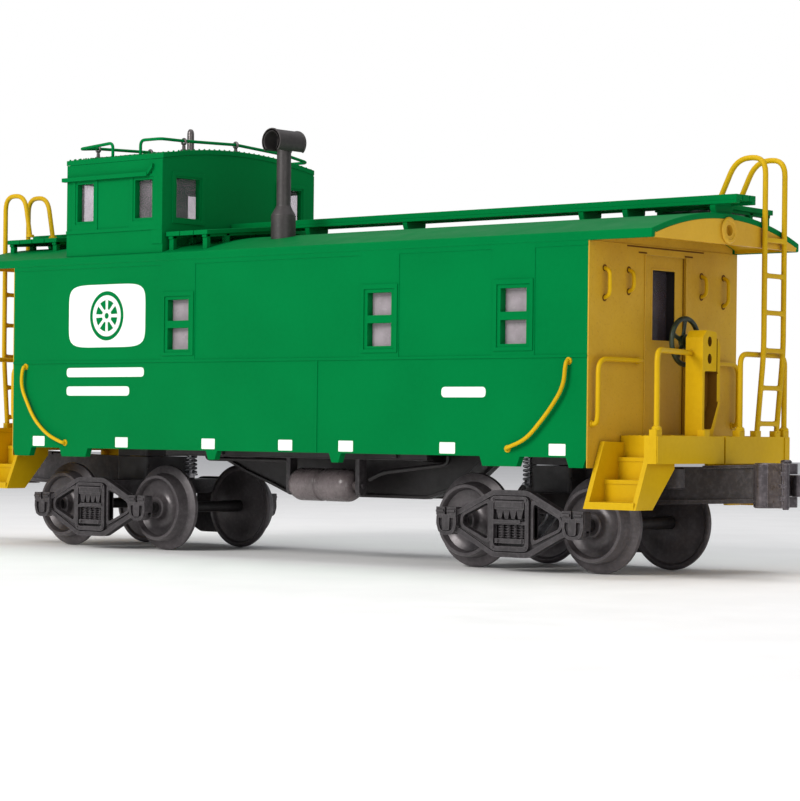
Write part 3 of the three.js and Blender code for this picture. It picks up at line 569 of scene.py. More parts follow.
def side_wall():
    """The right-hand side, with its lap seams, window frames and hanging tabs."""
    end, face, inner = BODY_X - 0.3, -BODY_Y, -BODY_Y + WALL
    lower = []
    for x0, x1 in TABS:
        lower += [(x0, FLOOR_Z), (x0 + 0.9, 22.5), (x1 - 0.9, 22.5), (x1, FLOOR_Z)]
    outline = [(-end, EAVE_Z)] + lower + [(end, EAVE_Z)]
    wall = Part().prism("y", outline, (face, inner))
    wall.box((-end, end), (face - 0.22, face + 0.5), (BELT_Z - 0.3, BELT_Z + 0.3))
    wall.box((SEAM_X - 0.35, SEAM_X + 0.35), (face - 0.18, face + 0.5), (FLOOR_Z, BELT_Z))
    openings = Part()
    for x in SIDE_WINDOWS:
        wall.box((x - 6.3, x + 6.3), (face - 0.14, face + 0.5), (BELT_Z, EAVE_Z))
        wall.box((x - 5.9, x + 5.9), (face - 0.4, face + 0.5), (49.4, 66))
        openings.box((x - 4.9, x + 4.9), (face - 1, face - 0.12), (50.2, 64.9))
        for span in PANES:
            openings.box((x - 3.85, x + 3.85), (face - 2, inner + 2), span)
    wall.box((-end, end), (face - 0.12, face + 0.5), (EAVE_Z - 1.1, EAVE_Z))
    return wall.cut(openings)


def wall_marks():
    """Reflectors along the bottom, a wheel on a plain badge, and bars in place of lettering."""
    y = (-BODY_Y - 0.07, -BODY_Y + 0.3)
    marks = Part()
    for x in REFLECTORS:
        marks.prism("y", rounded(rectangle((x - 2.42, x + 2.42), (25.2, 27.9)), 0.25), y)
    x, z, sides = -61.5, 60.3, 96
    badge = []
    for u, v in circle(1, sides):
        reach = (abs(u / 15) ** 6 + abs(v / 8.4) ** 6) ** (-1 / 6)
        badge.append((x + reach * u, z + reach * v))
    marks.ring("y", badge, circle(6.6, sides, (x, z)), y)
    marks.ring("y", circle(5.5, sides, (x, z)), circle(4.2, sides, (x, z)), y)
    marks.ring("y", circle(1.8, sides, (x, z)), circle(0.8, sides, (x, z)), y)
    for i in range(8):
        spoke = Part().prism("y", [(1.7, -0.4), (4.4, -0.5), (4.4, 0.5), (1.7, 0.4)], y)
        marks.add(spoke.moved(Matrix.Translation((x, 0, z)) @ Matrix.Rotation(i * math.pi / 4, 4, "Y")))
    for x0, x1, z in ((-77.2, -46.8, 45.2), (-77.2, -52.4, 40.2), (56, 69.6, 39.8)):
        marks.prism("y", rounded(rectangle((x0, x1), (z - 1.25, z + 1.25)), 1.1), y)
    return marks


for side, matrix in (("right", Matrix.Identity(4)), ("left", MIRROR)):
    replaced = "body_shell" if side == "right" else None
    piece(f"side_wall_{side}", side_wall().moved(matrix), GREEN, replaced, on="body_shell", bevel=0.05,
          segments=1)
    piece(f"white_marks_{side}", wall_marks().moved(matrix), WHITE, on="body_shell", bevel=0.03, segments=1)
    panes = Part()
    for x in SIDE_WINDOWS:
        for z0, z1 in PANES:
            outline = rounded(rectangle((x - 4.6, x + 4.6), (z0 - 0.7, z1 + 0.7)), 0.6)
            panes.prism("y", outline, (-BODY_Y + WALL + 0.05, -BODY_Y + WALL + 0.85))
        panes.box((x - 5.6, x + 5.6), (-BODY_Y + WALL + 0.7, -BODY_Y + WALL + 1.1), (49.8, 65.6))
    piece(f"window_panes_{side}", panes.moved(matrix), GLAZING, f"side_glazing_{side}", bevel=0.1)

# ---------------------------------------------------------------- car ends


DOOR_SINK = 0.6
DOOR_WINDOW = ((-4.5, 4.5), (52.4, 68.8))
GRAB_IRONS = ((24, 61, 68.7), (14.7, 62.8, 68.7))


def end_wall():
    """The front end wall with its shallow door recess and window."""
    inner_y = BODY_Y - WALL - 0.05
    outline = [(-inner_y, FLOOR_Z), (inner_y, FLOOR_Z)] + ROOF.points(inner_y, ROOF_SHEET + 0.05)
    wall = Part().prism("x", outline, (BODY_X - 3, BODY_X - 0.2))
    side = BODY_Y - 0.02
    skin = [(-side, EAVE_Z), (-side, 22.5), (4 - side, 22.5), (5 - side, FLOOR_Z), (side - 5, FLOOR_Z),
            (side - 4, 22.5), (side, 22.5), (side, EAVE_Z)]
    wall.prism("x", skin, (BODY_X - 0.3, BODY_X))
    openings = Part().box((BODY_X - DOOR_SINK, BODY_X + 1), (-8.1, 8.1), (30.3, 72.2))
    openings.box((BODY_X - 9, BODY_X + 9), *DOOR_WINDOW)
    return wall.cut(openings)


def end_wall_paint(centre, normal):
    """The reveal round the door window is in shadow; the rest is speckled yellow."""
    inside = abs(centre.y) < 4.6 and 52.3 < centre.z < 68.9 and abs(normal.x) < 0.5
    return 1 if inside and abs(centre.x) < BODY_X - DOOR_SINK else 0


def door_fittings():
    """A thin window lip, hinges and a knob on the door, and a raised jamb beside it."""
    face = BODY_X - DOOR_SINK
    trims = Part()
    window = rectangle(*DOOR_WINDOW)
    trims.ring("x", inset(window, -0.45), window, (face - 0.3, face + 0.12))
    for z in (35, 51, 67):
        trims.rod("z", 0.4, (z - 1.1, z + 1.1), (face + 0.25, -7.6), 12)
    trims.lathe("x", [(0, face - 0.2), (0.4, face - 0.2), (0.4, face + 0.5), (0.8, face + 0.7),
                      (0.8, face + 1.0), (0.4, face + 1.2), (0, face + 1.2)], (6.3, 50.6), 20)
    for y in (-8.3, 8.3):
        trims.box((BODY_X - 0.2, BODY_X + 0.22), (y - 0.2, y + 0.2), (30.3, 72.4))
    return trims


def wall_shadows():
    """Painted shadows: dark lines in the end where the slot under the roof, the lintel, the door edge and the
    rail sockets fall in shade.
    """
    face = BODY_X
    lines = Part().box((face - 0.2, face + 0.06), (-15.5, 15.5), (73.7, 74.05))
    for y in (-9.3, 9.3):
        lines.box((face - 0.2, face + 0.12), (y - 1.6, y + 1.6), (72.4, 72.75))
    lines.box((face - DOOR_SINK - 0.2, face - DOOR_SINK + 0.06), (7.75, 8.08), (30.4, 72.1))
    for y, z0, z1 in GRAB_IRONS:
        for side in (-y, y):
            for z in (z0 + 0.4, z1 - 0.4):
                lines.rod("x", 0.8, (face - 0.2, face + 0.08), (side, z), 18)
    return lines


def end_rails():
    """Four bowed grab irons and the two bent handrails."""
    rails = Part()
    root, out = BODY_X - 0.2, BODY_X + 1.55
    for y, z0, z1 in GRAB_IRONS:
        for side in (-y, y):
            rails.tube([(root, side, z0 + 0.4), (out, side, z0 + 1.1), (out, side, z1 - 1.1),
                        (root, side, z1 - 0.4)],
                       0.48, bend=1.3)
    out = BODY_X + 1.7
    bent = Part().tube([(root, -28.3, 32.6), (out, -28.3, 32.6), (out, -28.3, 47.4), (out, -11, 47.4),
                        (root, -11, 47.4)], 0.58, bend=3.2)
    for y, z in ((-28.3, 32.6), (-11, 47.4)):
        bent.rod("x", 0.95, (BODY_X - 0.2, BODY_X + 0.3), (y, z), 20, 0.85)
    return rails.add(both_sides(bent))


for end, matrix in ENDS.items():
    piece(f"end_wall_{end}", end_wall().moved(matrix), [END_YELLOW, BLACK], on="body_shell", bevel=0.15,
          pick=end_wall_paint)
    piece(f"door_{end}", door_fittings().moved(matrix), END_YELLOW, on="body_shell", bevel=0.1)
    piece(f"end_shadows_{end}", wall_shadows().moved(matrix), DARK_PAINT, on="body_shell", bevel=0.03,
          segments=1)
    piece(f"end_rails_{end}", end_rails().moved(matrix), YELLOW, on="body_shell", bevel=0)
    door_pane = Part().prism("x", rounded(rectangle((-5.5, 5.5), (51.6, 69.6)), 0.8),
                             (BODY_X - 3.9, BODY_X - 3.05))
    piece(f"door_pane_{end}", door_pane.moved(matrix), SHADED_DOOR_GLAZING, f"door_glazing_{end}", bevel=0.1)

# ---------------------------------------------------------------- roof


def roof_skin():
    """The arched sheet with its turned-down eaves."""
    low, half = EAVE_Z, ROOF_Y
    inner = half - EAVE_WALL
    outline = [(half, low)] + ROOF.points(half) + [(-half, low), (-inner, low)]
    outline += ROOF.points(inner, ROOF_SHEET)[::-1] + [(inner, low)]
    return Part().prism("x", outline, (-ROOF_X, -BODY_X, BODY_X, ROOF_X))


def roof_paint(centre, normal):
    """The lining of the end overhangs is yellow; the rest of the sheet is green."""
    inside = abs(centre.y) < ROOF_Y - 0.8 and centre.z < ROOF.height(centre.y) - 0.9
    return 1 if inside and abs(centre.x) > BODY_X and abs(normal.x) < 0.5 else 0


def roof_fascia():
    """The plate that closes the overhang, with the boss for the marker lamp."""
    half = ROOF_Y - EAVE_WALL
    outline = [(-half, EAVE_Z + 0.1), (half, EAVE_Z + 0.1)] + ROOF.points(half, ROOF_SHEET)
    plate = Part().prism("x", outline, (ROOF_X - 1.2, ROOF_X - 0.05))
    boss = (0, 77.6)
    plate.lathe("x", [(1.3, ROOF_X - 0.5), (3.1, ROOF_X - 0.5), (3.1, ROOF_X + 0.35), (2.8, ROOF_X + 0.6),
                      (2.2, ROOF_X + 0.6), (2.0, ROOF_X + 0.35), (1.3, ROOF_X + 0.35)], boss, 40, loop=True)
    hole = Part().rod("x", 1.3, (ROOF_X - 0.9, ROOF_X + 3), boss, 32)
    return plate.cut(hole)


piece("roof_sheet", roof_skin(), [GREEN, YELLOW], "roof_shell", bevel=0.3, segments=3, pick=roof_paint)
piece("roof_fascias", both_ends(roof_fascia()), END_YELLOW_SMOOTH, on="roof_shell", bevel=0.12)
lips = Part().box((-ROOF_X + 0.3, ROOF_X - 0.3), (-ROOF_Y - 0.02, -ROOF_Y + 0.9),
                  (EAVE_Z - 0.02, EAVE_Z + 0.5))
piece("eave_lips", both_sides(lips), GREEN, on="roof_shell", bevel=0.12)

# ---------------------------------------------------------------- cupola

CUPOLA_SIDE_WINDOWS = ((-74.7, -68.3), (-52, -45.4))
CUPOLA_END_WINDOW = (15.3, 24)


def cupola_walls():
    (x0, x1), half, wall = CUPOLA_X, CUPOLA_Y, CUPOLA_WALL
    outline = [(-half, 70), (half, 70)] + CUPOLA.points(half, CUPOLA_SHEET + 0.05)
    walls = Part().prism("x", outline, (x0, x1))
    tools = Part().box((x0 + wall, x1 - wall), (-half + wall, half - wall), (60, 120))
    roof_half = ROOF_Y - 0.1
    below = [(-roof_half, 40), (roof_half, 40)] + ROOF.points(roof_half, -0.05)
    tools.prism("x", below, (x0 - 5, x1 + 5))
    for side in (-1, 1):
        def across(low, high):
            return sorted((side * (half + low), side * (half + high)))
        walls.box((x0, x1), across(-0.3, 0.3), (82.75, 83.65))
        walls.box((x1 - 4, x1), across(-0.3, 0.22), (79, CUPOLA_EDGE - 1.6))
        walls.box((x0 - 1, x1 - 5.2), across(-0.3, 1.15), (GUTTER_Z - 0.55, GUTTER_Z + 0.5))
        gutter_end = [(x1 - 5.4, GUTTER_Z - 0.55), (x1 - 3.2, GUTTER_Z + 1.6), (x1 - 3.2, GUTTER_Z + 2.6),
                      (x1 - 5.4, GUTTER_Z + 0.5)]
        walls.prism("y", gutter_end, across(-0.3, 1.0))
        for w0, w1 in CUPOLA_SIDE_WINDOWS:
            frame_outline = rectangle((w0 - 1.9, w1 + 1.7), (83.2, GUTTER_Z))
            walls.prism("y", frame_outline, across(-0.3, 0.24))
            tools.box((w0 - 0.7, w1 + 0.7), across(0.05, 2), (85.3, 96.8))
            tools.box((w0, w1), across(-3, 3), (86, 96.1))
        for end, out in ((x0, -1), (x1, 1)):
            def outward(low, high):
                return sorted((end + out * low, end + out * high))
            y0, y1 = sorted((side * CUPOLA_END_WINDOW[0], side * CUPOLA_END_WINDOW[1]))
            walls.box(outward(-0.3, 0.24), (y0 - 1.6, y1 + 1.6), (84.6, 98.2))
            tools.box(outward(0.05, 2), (y0 - 0.6, y1 + 0.6), (85.5, 97.2))
            tools.box(outward(-3, 3), (y0, y1), (86.1, 96.6))
    return walls.cut(tools)


def cupola_cap():
    cap = Part().prism("x", CUPOLA.band(CUPOLA_Y + 0.15, 0, CUPOLA_SHEET),
                       (CUPOLA_X[0] - 0.15, CUPOLA_X[1] + 0.15))
    for x in (-69.6, -60.2, -50.8):
        cap.prism("x", CUPOLA.band(CUPOLA_Y + 0.1, -0.18, 0.4), (x - 0.4, x + 0.4))
    (x0, x1), edge = CUPOLA_X, CUPOLA_Y - 0.5
    along = [(x0 + 0.6 + i * (x1 - x0 - 1.2) / 20, side * edge) for i in range(21) for side in (-1, 1)]
    across = [(x, edge * (i / 15 - 1)) for i in range(1, 30) for x in (x0 + 0.6, x1 - 0.6)]
    for x, y in along + across:
        z = CUPOLA.height(y)
        cap.rod("z", 0.36, (z - 0.2, z + 0.3), (x, y), 8, 0.22)
    return cap


def cupola_rail(end_x, foot_x, near):
    """A wire handrail that leaves the roof at each side and runs round the end through three eyelets."""
    return Part().tube([
        (foot_x, -27.6, CUPOLA.height(27.6) - 0.2), (foot_x, -27.6, 106.8), near, (end_x, -19.5, 106.8),
        (end_x, 0, 107.5), (end_x, 19.5, 106.4), (end_x, 28.4, 105), (foot_x, 28.2, 105),
        (foot_x, 28.2, CUPOLA.height(28.2) - 0.2),
    ], 0.42, bend=1.6)


def eyelets(end_x):
    posts = Part()
    for y in (-19.5, 0, 19.5):
        foot = CUPOLA.height(y) - 0.1
        top = 107.4 if y == 0 else 106.6
        posts.lathe("z", [(0, foot), (0.95, foot), (0.95, foot + 0.3), (0.5, foot + 0.55), (0.45, top - 1),
                          (0, top - 0.8)], (end_x, y), 20)
        loop_profile = [(0.72 + 0.34 * math.cos(a), 0.34 * math.sin(a)) for a in
                        (2 * math.pi * i / 10 for i in range(10))]
        eye = Part().lathe("y", loop_profile, (0, 0), 24, loop=True)
        posts.add(eye.moved(Matrix.Translation((end_x, y, top))))
    return posts


piece("cupola_walls", cupola_walls(), GREEN, "cupola_shell", bevel=0.12)
piece("cupola_cap", cupola_cap(), GREEN, "cupola_roof", bevel=0.35, segments=3)
mast = Part().lathe("z", [(0, CUPOLA_CROWN - 0.9), (1.35, CUPOLA_CROWN - 0.9), (1.35, CUPOLA_CROWN + 0.5),
                          (1.0, CUPOLA_CROWN + 0.8), (0.95, 111.6), (0.8, 112.3), (0.45, 112.75),
                          (0, 112.85)],
                    (-60.2, -0.7), 28)
piece("radio_mast", mast, EYELET, on="cupola_roof", bevel=0)
for end, args in (("front", (-43.4, -51.5, (-43.4, -27.9, 106.7))),
                  ("rear", (-77, -62.3, (-76, -27, 106)))):
    piece(f"cupola_handrail_{end}", cupola_rail(*args), GREEN, f"cupola_rail_{end}", bevel=0)
    piece(f"cupola_eyelets_{end}", eyelets(args[0]), EYELET, on=f"cupola_rail_{end}", bevel=0)

inner_x = (CUPOLA_X[0] + CUPOLA_WALL + 0.05, CUPOLA_X[1] - CUPOLA_WALL - 0.05)
inner_y = CUPOLA_Y - CUPOLA_WALL - 0.05
panes = Part()
for w0, w1 in CUPOLA_SIDE_WINDOWS:
    outline = rounded(rectangle((w0 - 0.8, w1 + 0.8), (85.2, 96.9)), 0.5)
    panes.prism("y", outline, (-inner_y, -inner_y + 0.8))
    panes.prism("y", outline, (inner_y - 0.8, inner_y))
for y0 in (-CUPOLA_END_WINDOW[1], CUPOLA_END_WINDOW[0]):
    outline = rounded(rectangle((y0 - 0.7, y0 + 9.4), (85.4, 97.3)), 0.5)
    panes.prism("x", outline, (inner_x[0], inner_x[0] + 0.8))
    panes.prism("x", outline, (inner_x[1] - 0.8, inner_x[1]))
piece("cupola_panes", panes, CLEAR_GLAZING, "cupola_glazing", bevel=0.1)

# ---------------------------------------------------------------- roofwalk and smokejack


def running_board(span, saddles):
    """Three planks on two runners, carried by saddles shaped to the roof."""
    low, high = WALK_Z
    walk = Part()
    width = (2 * WALK_Y - 0.4) / 3
    for i in range(3):
        y0 = -WALK_Y + i * (width + 0.2)
        walk.box(span, (y0, y0 + width), (low + 0.75, high))
    for y0 in (-WALK_Y, WALK_Y - 1.5):
        walk.box(span, (y0, y0 + 1.5), (low, low + 0.8))
    for x in saddles:
        sides = [(-WALK_Y + 0.3, low + 0.4), (-WALK_Y + 0.3, low - 0.8), (-WALK_Y + 1.2, 80.5),
                 (WALK_Y - 1.2, 80.5), (WALK_Y - 0.3, low - 0.8), (WALK_Y - 0.3, low + 0.4)]
        walk.prism("x", sides, (x - 0.75, x + 0.75))
        walk.box((x - 1.2, x + 1.2), (-WALK_Y + 0.2, WALK_Y - 0.2), (low + 0.1, low + 0.8))
        for y in (-2.6, 0, 2.6):
            walk.rod("z", 0.28, (high - 0.2, high + 0.08), (x, y), 10)
    return walk


def side_board(span, side, reach, outer_top):
    """A board that slopes down from the walk, in three planks, with legs on the roof."""
    x0, x1 = span
    inner = WALK_Y - 0.4
    top = WALK_Z[1] - 1.3
    slope = (outer_top - top) / (reach - inner)
    board = Part()
    planks = 3 if x1 - x0 < 18 else 4
    width = (x1 - x0 - 0.2 * (planks - 1)) / planks
    for i in range(planks):
        start = x0 + i * (width + 0.2)
        outline = [(side * inner, top - 1.2), (side * reach, outer_top - 1.2), (side * reach, outer_top),
                   (side * inner, top)]
        board.prism("x", outline, (start, start + width))
    for at in (x0 + 0.6, x1 - 2.2):
        under = [(side * inner, top - 1.9), (side * (reach - 0.3), outer_top - 1.9),
                 (side * (reach - 0.3), outer_top - 1), (side * inner, top - 1)]
        board.prism("x", under, (at, at + 1.6))
        for y in (reach - 1.9, reach - 9):
            z = outer_top + slope * (y - reach) - 1.2
            ys = sorted((side * y, side * (y + 1.3)))
            board.box((at, at + 1.6), ys, (ROOF.height(y + 1.3) - 0.4, z))
    return board


start = CUPOLA_X[1] + 0.6
front_walk = running_board((start, WALK_X), (-33, -13, 21, 77, 90, 115))
front_walk.add(side_board((start, -25.5), -1, 28.2, 82), side_board((start, -25.5), 1, 28.2, 82),
               side_board((93.5, 113.8), 1, 23.6, 84))
piece("running_board_front", front_walk, GREEN, "roofwalk_front", bevel=0.12)
rear_walk = running_board((-WALK_X, CUPOLA_X[0] - 0.6), (-115, -99, -84))
rear_walk.add(side_board((-114.6, -93.8), -1, 19.6, 83.1))
piece("running_board_rear", rear_walk, GREEN, "roofwalk_rear", bevel=0.12)

JACK = (-9.9, -16)


def stove_pipe():
    foot = ROOF.height(JACK[1] - 3.5) - 0.6
    profile = [(0, foot), (3.2, foot), (3.2, 85.6), (3.05, 86), (1.95, 88.0), (1.85, 88.4), (1.85, 105.5),
               (0, 105.5)]
    return Part().lathe("z", profile, JACK, 40)


def hood():
    """An open-bottomed half-round cap across the top of the pipe."""
    centre = (JACK[0], 104.6)
    sweep = [math.radians(-48 + i * 276 / 36) for i in range(37)]
    outer = [(centre[0] + 3.2 * math.cos(a), centre[1] + 3.2 * math.sin(a)) for a in sweep]
    inner = [(centre[0] + 2.55 * math.cos(a), centre[1] + 2.55 * math.sin(a)) for a in reversed(sweep)]
    shape = Part().prism("y", outer + inner, (JACK[1] - 4.9, JACK[1] + 4.9))
    for y in (JACK[1] - 4.9, JACK[1] + 4.3):
        rim = [(centre[0] + 3.38 * math.cos(a), centre[1] + 3.38 * math.sin(a)) for a in sweep]
        core = [(centre[0] + 2.5 * math.cos(a), centre[1] + 2.5 * math.sin(a)) for a in reversed(sweep)]
        shape.prism("y", rim + core, (y, y + 0.6))
    return shape


piece("stove_pipe", stove_pipe().add(hood()), STACK, "smokejack", bevel=0.12)

# ---------------------------------------------------------------- underframe


def underframe():
    inner, end = BODY_Y - WALL - 0.05, BODY_X - 3.05
    floor = Part().box((-end, end), (-inner, inner), (FLOOR_Z, 27))
    belly = [(-48.5, 25), (-32.7, 18.6), (-24, 15.8), (-17, 13.3), (30, 13.3), (38, 15.6), (50, 25)]
    floor.prism("y", belly, (-4.1, -3.1)).prism("y", belly, (3.1, 4.1))
    floor.prism("y", [(x, z + 0.6) for x, z in belly], (-3.3, 3.3))
    lip = belly + [(x, z + 0.8) for x, z in reversed(belly)]
    floor.prism("y", lip, (-5, -2.4)).prism("y", lip, (2.4, 5))
    for x in (-24, 36):
        bearer = [(-24, 24.9), (-24, 23.8), (-9, 22.6), (9, 22.6), (24, 23.8), (24, 24.9)]
        floor.prism("x", bearer, (x - 0.7, x + 0.7))
    for side in (-1, 1):
        floor.box((-45, 46), sorted((side * 22, side * 23.3)), (23.4, 24.9))
        floor.box((-45, 46), sorted((side * 20.9, side * 23.3)), (23.3, 23.7))
        block = rounded(rectangle((side * TRUCK_X - 6, side * TRUCK_X + 6), (-9.5, 9.5)), 1.2)
        floor.prism("z", block, (22.7, 24.9))
    floor.tube([(-42, -11, 24.6), (-42, -11, 22.4), (-12, -11, 22.4), (-9, -12.5, 20.5)], 0.55, bend=1.5)
    floor.tube([(17.5, -12.5, 18), (22, -12, 20), (42, -10.5, 22.3), (42, -10.5, 24.6)], 0.55, bend=2)
    floor.lathe("z", [(0, 26.9), (3.6, 26.9), (3.4, 29.6), (3.0, 30), (0, 30)], (0, 0), 32)
    return floor


TANK_X, TANK_AT, TANK_R = (-7, 15.4), (-14, 16.5), 4.2


def tank_brackets():
    """A strap at each end of the reservoir, wrapped round its lower edge."""
    y, z = TANK_AT
    brackets = Part()
    for x0, x1 in ((TANK_X[0] - 1.5, TANK_X[0] - 0.1), (TANK_X[1] + 0.1, TANK_X[1] + 1.5)):
        outline = [(y - 1.4, z - 1.6), (y - 0.8, z - 2.5), (y + 0.8, z - 2.5), (y + 1.4, z - 1.6),
                   (y + 1.4, 25.3),
                   (y - 1.4, 25.3)]
        brackets.prism("x", outline, (x0, x1))
        brackets.box((x0 - 0.7, x1 + 0.7), (y - 1.8, y + 1.8), (23.9, 25.2))
        brackets.rod("x", 0.7, (x0 - 0.35, x1 + 0.35), (y, z), 6)
    return brackets


def air_reservoir():
    (x0, x1), r = TANK_X, TANK_R
    middle = (x0 + x1) / 2
    half = [(0, x0 + 0.1), (1.3, x0 + 0.1), (1.3, x0 + 0.8), (2.6, x0 + 0.95), (3.6, x0 + 1.5),
            (r - 0.1, x0 + 2.6),
            (r, x0 + 3.4), (r, middle - 0.9), (r - 0.32, middle - 0.55)]
    profile = half + [(radius, 2 * middle - x) for radius, x in reversed(half)]
    return Part().lathe("x", profile, TANK_AT, 56)


piece("underframe", underframe(), BLACK, "chassis_floor", bevel=0.15)
piece("tank_brackets", tank_brackets(), TRUCK, on="chassis_floor", bevel=0.1)
piece("air_reservoir", air_reservoir(), TANK, "air_tank", bevel=0.08)
for end, side in (("front", 1), ("rear", -1)):
    centre = (side * 59.4, 0)
    spring = Part().coil("z", 1.45, 0.33, (18.3, 24.6), centre, 6).rod("z", 0.6, (17.2, 24.6), centre, 16)
    spring.lathe("z", [(0, 17.5), (1.8, 17.5), (1.9, 17.7), (1.9, 18), (0, 18)], centre, 28)
    spring.lathe("z", [(0, 16.9), (1.0, 16.9), (1.1, 17.1), (1.1, 17.5), (0, 17.5)], centre, 6)
    piece(f"contact_spring_{end}", spring, STEEL, on="chassis_floor", bevel=0)
bulb = Part().lathe("z", [(0, 30.05), (2.4, 30.05), (2.5, 35.6), (3.1, 37.6), (3.2, 39.6), (2.9, 41.6),
                          (2, 43.2),
                          (0.9, 43.9), (0, 44)], (0, 0), 36)
piece("lamp", bulb, LAMP, "lamp_bulb", bevel=0)

# ---------------------------------------------------------------- end platforms

LADDERS = {"front": ((14, 22.3), (104, 84.6)), "rear": ((9.1, 17.6), (107.2, 84.4))}


DECK_Y, SILL_Y, STEP_X = 17.4, (-27.2, 27.2), (99.65, 114.3)


def step_edge(z):
    return -31.5 + 0.41 * (z - 13.3)


TREADS = ((14.9, -31.2, -24.9, 19.6), (19.9, -25.1, -19.7, 24.7), (25, -19.9, -DECK_Y, 28.4))


def steps():
    """One flight, on the right-hand side of the front platform: side plates, treads and risers."""
    x0, x1 = STEP_X
    plate = [(step_edge(13.3), 13.3), (-25, 13.3), (0.8 - DECK_Y, 22.5), (0.8 - DECK_Y, 28.4),
             (step_edge(28.6), 28.6)]
    flight = Part()
    for a, b in ((x0, x0 + 1.2), (x1 - 1.2, x1)):
        flight.prism("x", plate, (a, b))
    for top, front, back, riser_top in TREADS:
        flight.box((x0 + 0.6, x1 - 0.6), (front, back + 0.9), (top - 0.9, top))
        flight.box((x0 + 0.6, x1 - 0.6), (back, back + 0.9), (top - 0.9, riser_top))
    flight.box((x0 + 0.6, x1 - 0.6), (-31.5, -30.6), (13.3, 14.9))
    return flight


def platform(ladder_y):
    """The front platform: deck, end sill, post pads, ladder feet and both flights."""
    deck = Part().box((STEP_X[0], SILL_X - 0.5), (-DECK_Y, DECK_Y), (DECK_Z - 2, DECK_Z))
    deck.box((SILL_X - 3.3, SILL_X), SILL_Y, (SILL_Z, DECK_Z))
    for side in (-1, 1):
        for y in POST_Y:
            pad = rectangle((POST_X - 1.4, SILL_X - 0.02), (side * y - 1.2, side * y + 1.2))
            deck.prism("z", rounded(pad, 0.4, 3), (DECK_Z - 0.5, PAD_Z))
        rib = sorted((side * 25, side * 27))
        deck.box((SILL_X - 0.5, SILL_X + 0.25), rib, (SILL_Z + 0.2, DECK_Z - 0.1))
        deck.box((103, 106.8), sorted((side * 10, side * 16)), (DECK_Z - 2.6, DECK_Z - 1.8))
    for y in ladder_y:
        deck.prism("z", rounded(rectangle((POST_X - 1, SILL_X), (y - 1.2, y + 1.2)), 0.4, 3),
                   (DECK_Z - 0.5, PAD_Z))
    for i in range(9):
        x = 101.2 + i * 1.5
        if x < 107 or x > 112.9:
            deck.box((x, x + 0.5), (-16.5, -4), (DECK_Z - 0.2, DECK_Z + 0.14))
            deck.box((x, x + 0.5), (4, 16.5), (DECK_Z - 0.2, DECK_Z + 0.14))
    deck.add(both_sides(steps()))
    groove = Part().box((SILL_X - 0.5, SILL_X + 1), (-0.35, 0.35), (20, 40))
    return deck.cut(groove)


def post_foot(y):
    return Part().lathe("z", [(0, PAD_Z - 0.1), (1.15, PAD_Z - 0.1), (1.1, PAD_Z + 0.5), (0.7, PAD_Z + 0.9),
                              (0, PAD_Z + 0.9)], (POST_X, y), 24)


def hoop_railing():
    """The bent-wire railing on the left half of the front platform."""
    inner, outer = POST_Y
    wire = Part().tube([(POST_X, inner, PAD_Z - 0.3), (POST_X, inner, RAILING_Z),
                        (POST_X, outer, RAILING_Z),
                        (POST_X, outer, PAD_Z - 0.3)], 0.65, bend=2.6)
    return wire.add(post_foot(inner), post_foot(outer))


def stand_railing():
    """The railing on the right half: one post, and a bar across to the brake stand."""
    outer = -POST_Y[1]
    wire = Part().tube([(POST_X, outer, PAD_Z - 0.3), (POST_X, outer, RAILING_Z), (109, -2.9, RAILING_Z)],
                       0.65, bend=2.6)
    return wire.add(post_foot(outer))


def ladder(places, landing):
    """The front end ladder: it leans out past the railing, then hoops over onto the roof board."""
    x, foot_x, bend_z, hoop = 117.85, 116.2, 50, 95.8
    shape = Part()
    for y in places:
        shape.tube([(foot_x, y, PAD_Z - 0.4), (x, y, bend_z), (x, y, hoop), (x - 8.2, y, hoop),
                    (landing[0], y, landing[1] - 0.3)], 0.66, bend=4)
        shape.lathe("z", [(0, landing[1] - 0.5), (1.2, landing[1] - 0.5), (1.1, landing[1] + 0.2),
                          (0, landing[1] + 0.3)],
                    (landing[0], y), 20)
    for z in (33.1, 41.5, 50.3, 59.2, 67.9, 76.3):
        lean = max(0, (bend_z - z) / (bend_z - PAD_Z))
        at = x - lean * (x - foot_x)
        section = rounded(rectangle((at - 0.5, at + 0.5), (z - 0.58, z + 0.58)), 0.35, 3)
        y0, y1 = places
        rung = Part().prism("y", section, (y0, y1))
        for end_y, inward in ((y0, 1), (y1, -1)):
            wide = [(at + 1.25 * (u - at), z + 1.5 * (v - z)) for u, v in section]
            rung.loft([[(u, end_y, v) for u, v in wide],
                       [(u, end_y + inward * 1.5, v) for u, v in section]])
        shape.add(rung)
    return shape


def brake_stand():
    """The hand brake housing: a closed head with two sight holes over an open channel."""
    low, front = DECK_Z + 0.02, 112.4
    outline = [(-3.1, low), (1.3, low), (1.7, 31.5), (4.4, 38.5), (4.4, 51.5), (2.0, 54.3), (-1.6, 54.6),
               (-3.1, 52.9)]
    housing = Part().prism("x", outline, (107.6, front))
    channel = [(-2.3, 31.6), (0.5, 31.6), (3.2, 37.6), (3.2, 45.1), (-2.3, 45.1)]
    tools = Part().prism("x", rounded(channel, 0.5, 3), (front - 3, front + 2))
    tools.box((front - 1.2, front + 2), (2.5, 3.3), (44.9, 60))
    tools.box((front - 0.3, front + 2), (3.2, 6), (38, 60))
    for z in (48, 52):
        tools.prism("x", [(0.8 * u - 0.3, z + 1.2 * v) for u, v in circle(1, 24)], (front - 1.8, front + 2))
    tools.rod("x", 0.85, (106, 110), (0, HAND_WHEEL_Z), 24)
    result = housing.cut(tools)
    result.rod("x", 0.4, (front - 3.1, front - 2.5), (0.8, 34), 12)
    result.ring("x", circle(1.7, 28, (0, HAND_WHEEL_Z)), circle(0.95, 28, (0, HAND_WHEEL_Z)),
                (106.9, 107.8))
    return result


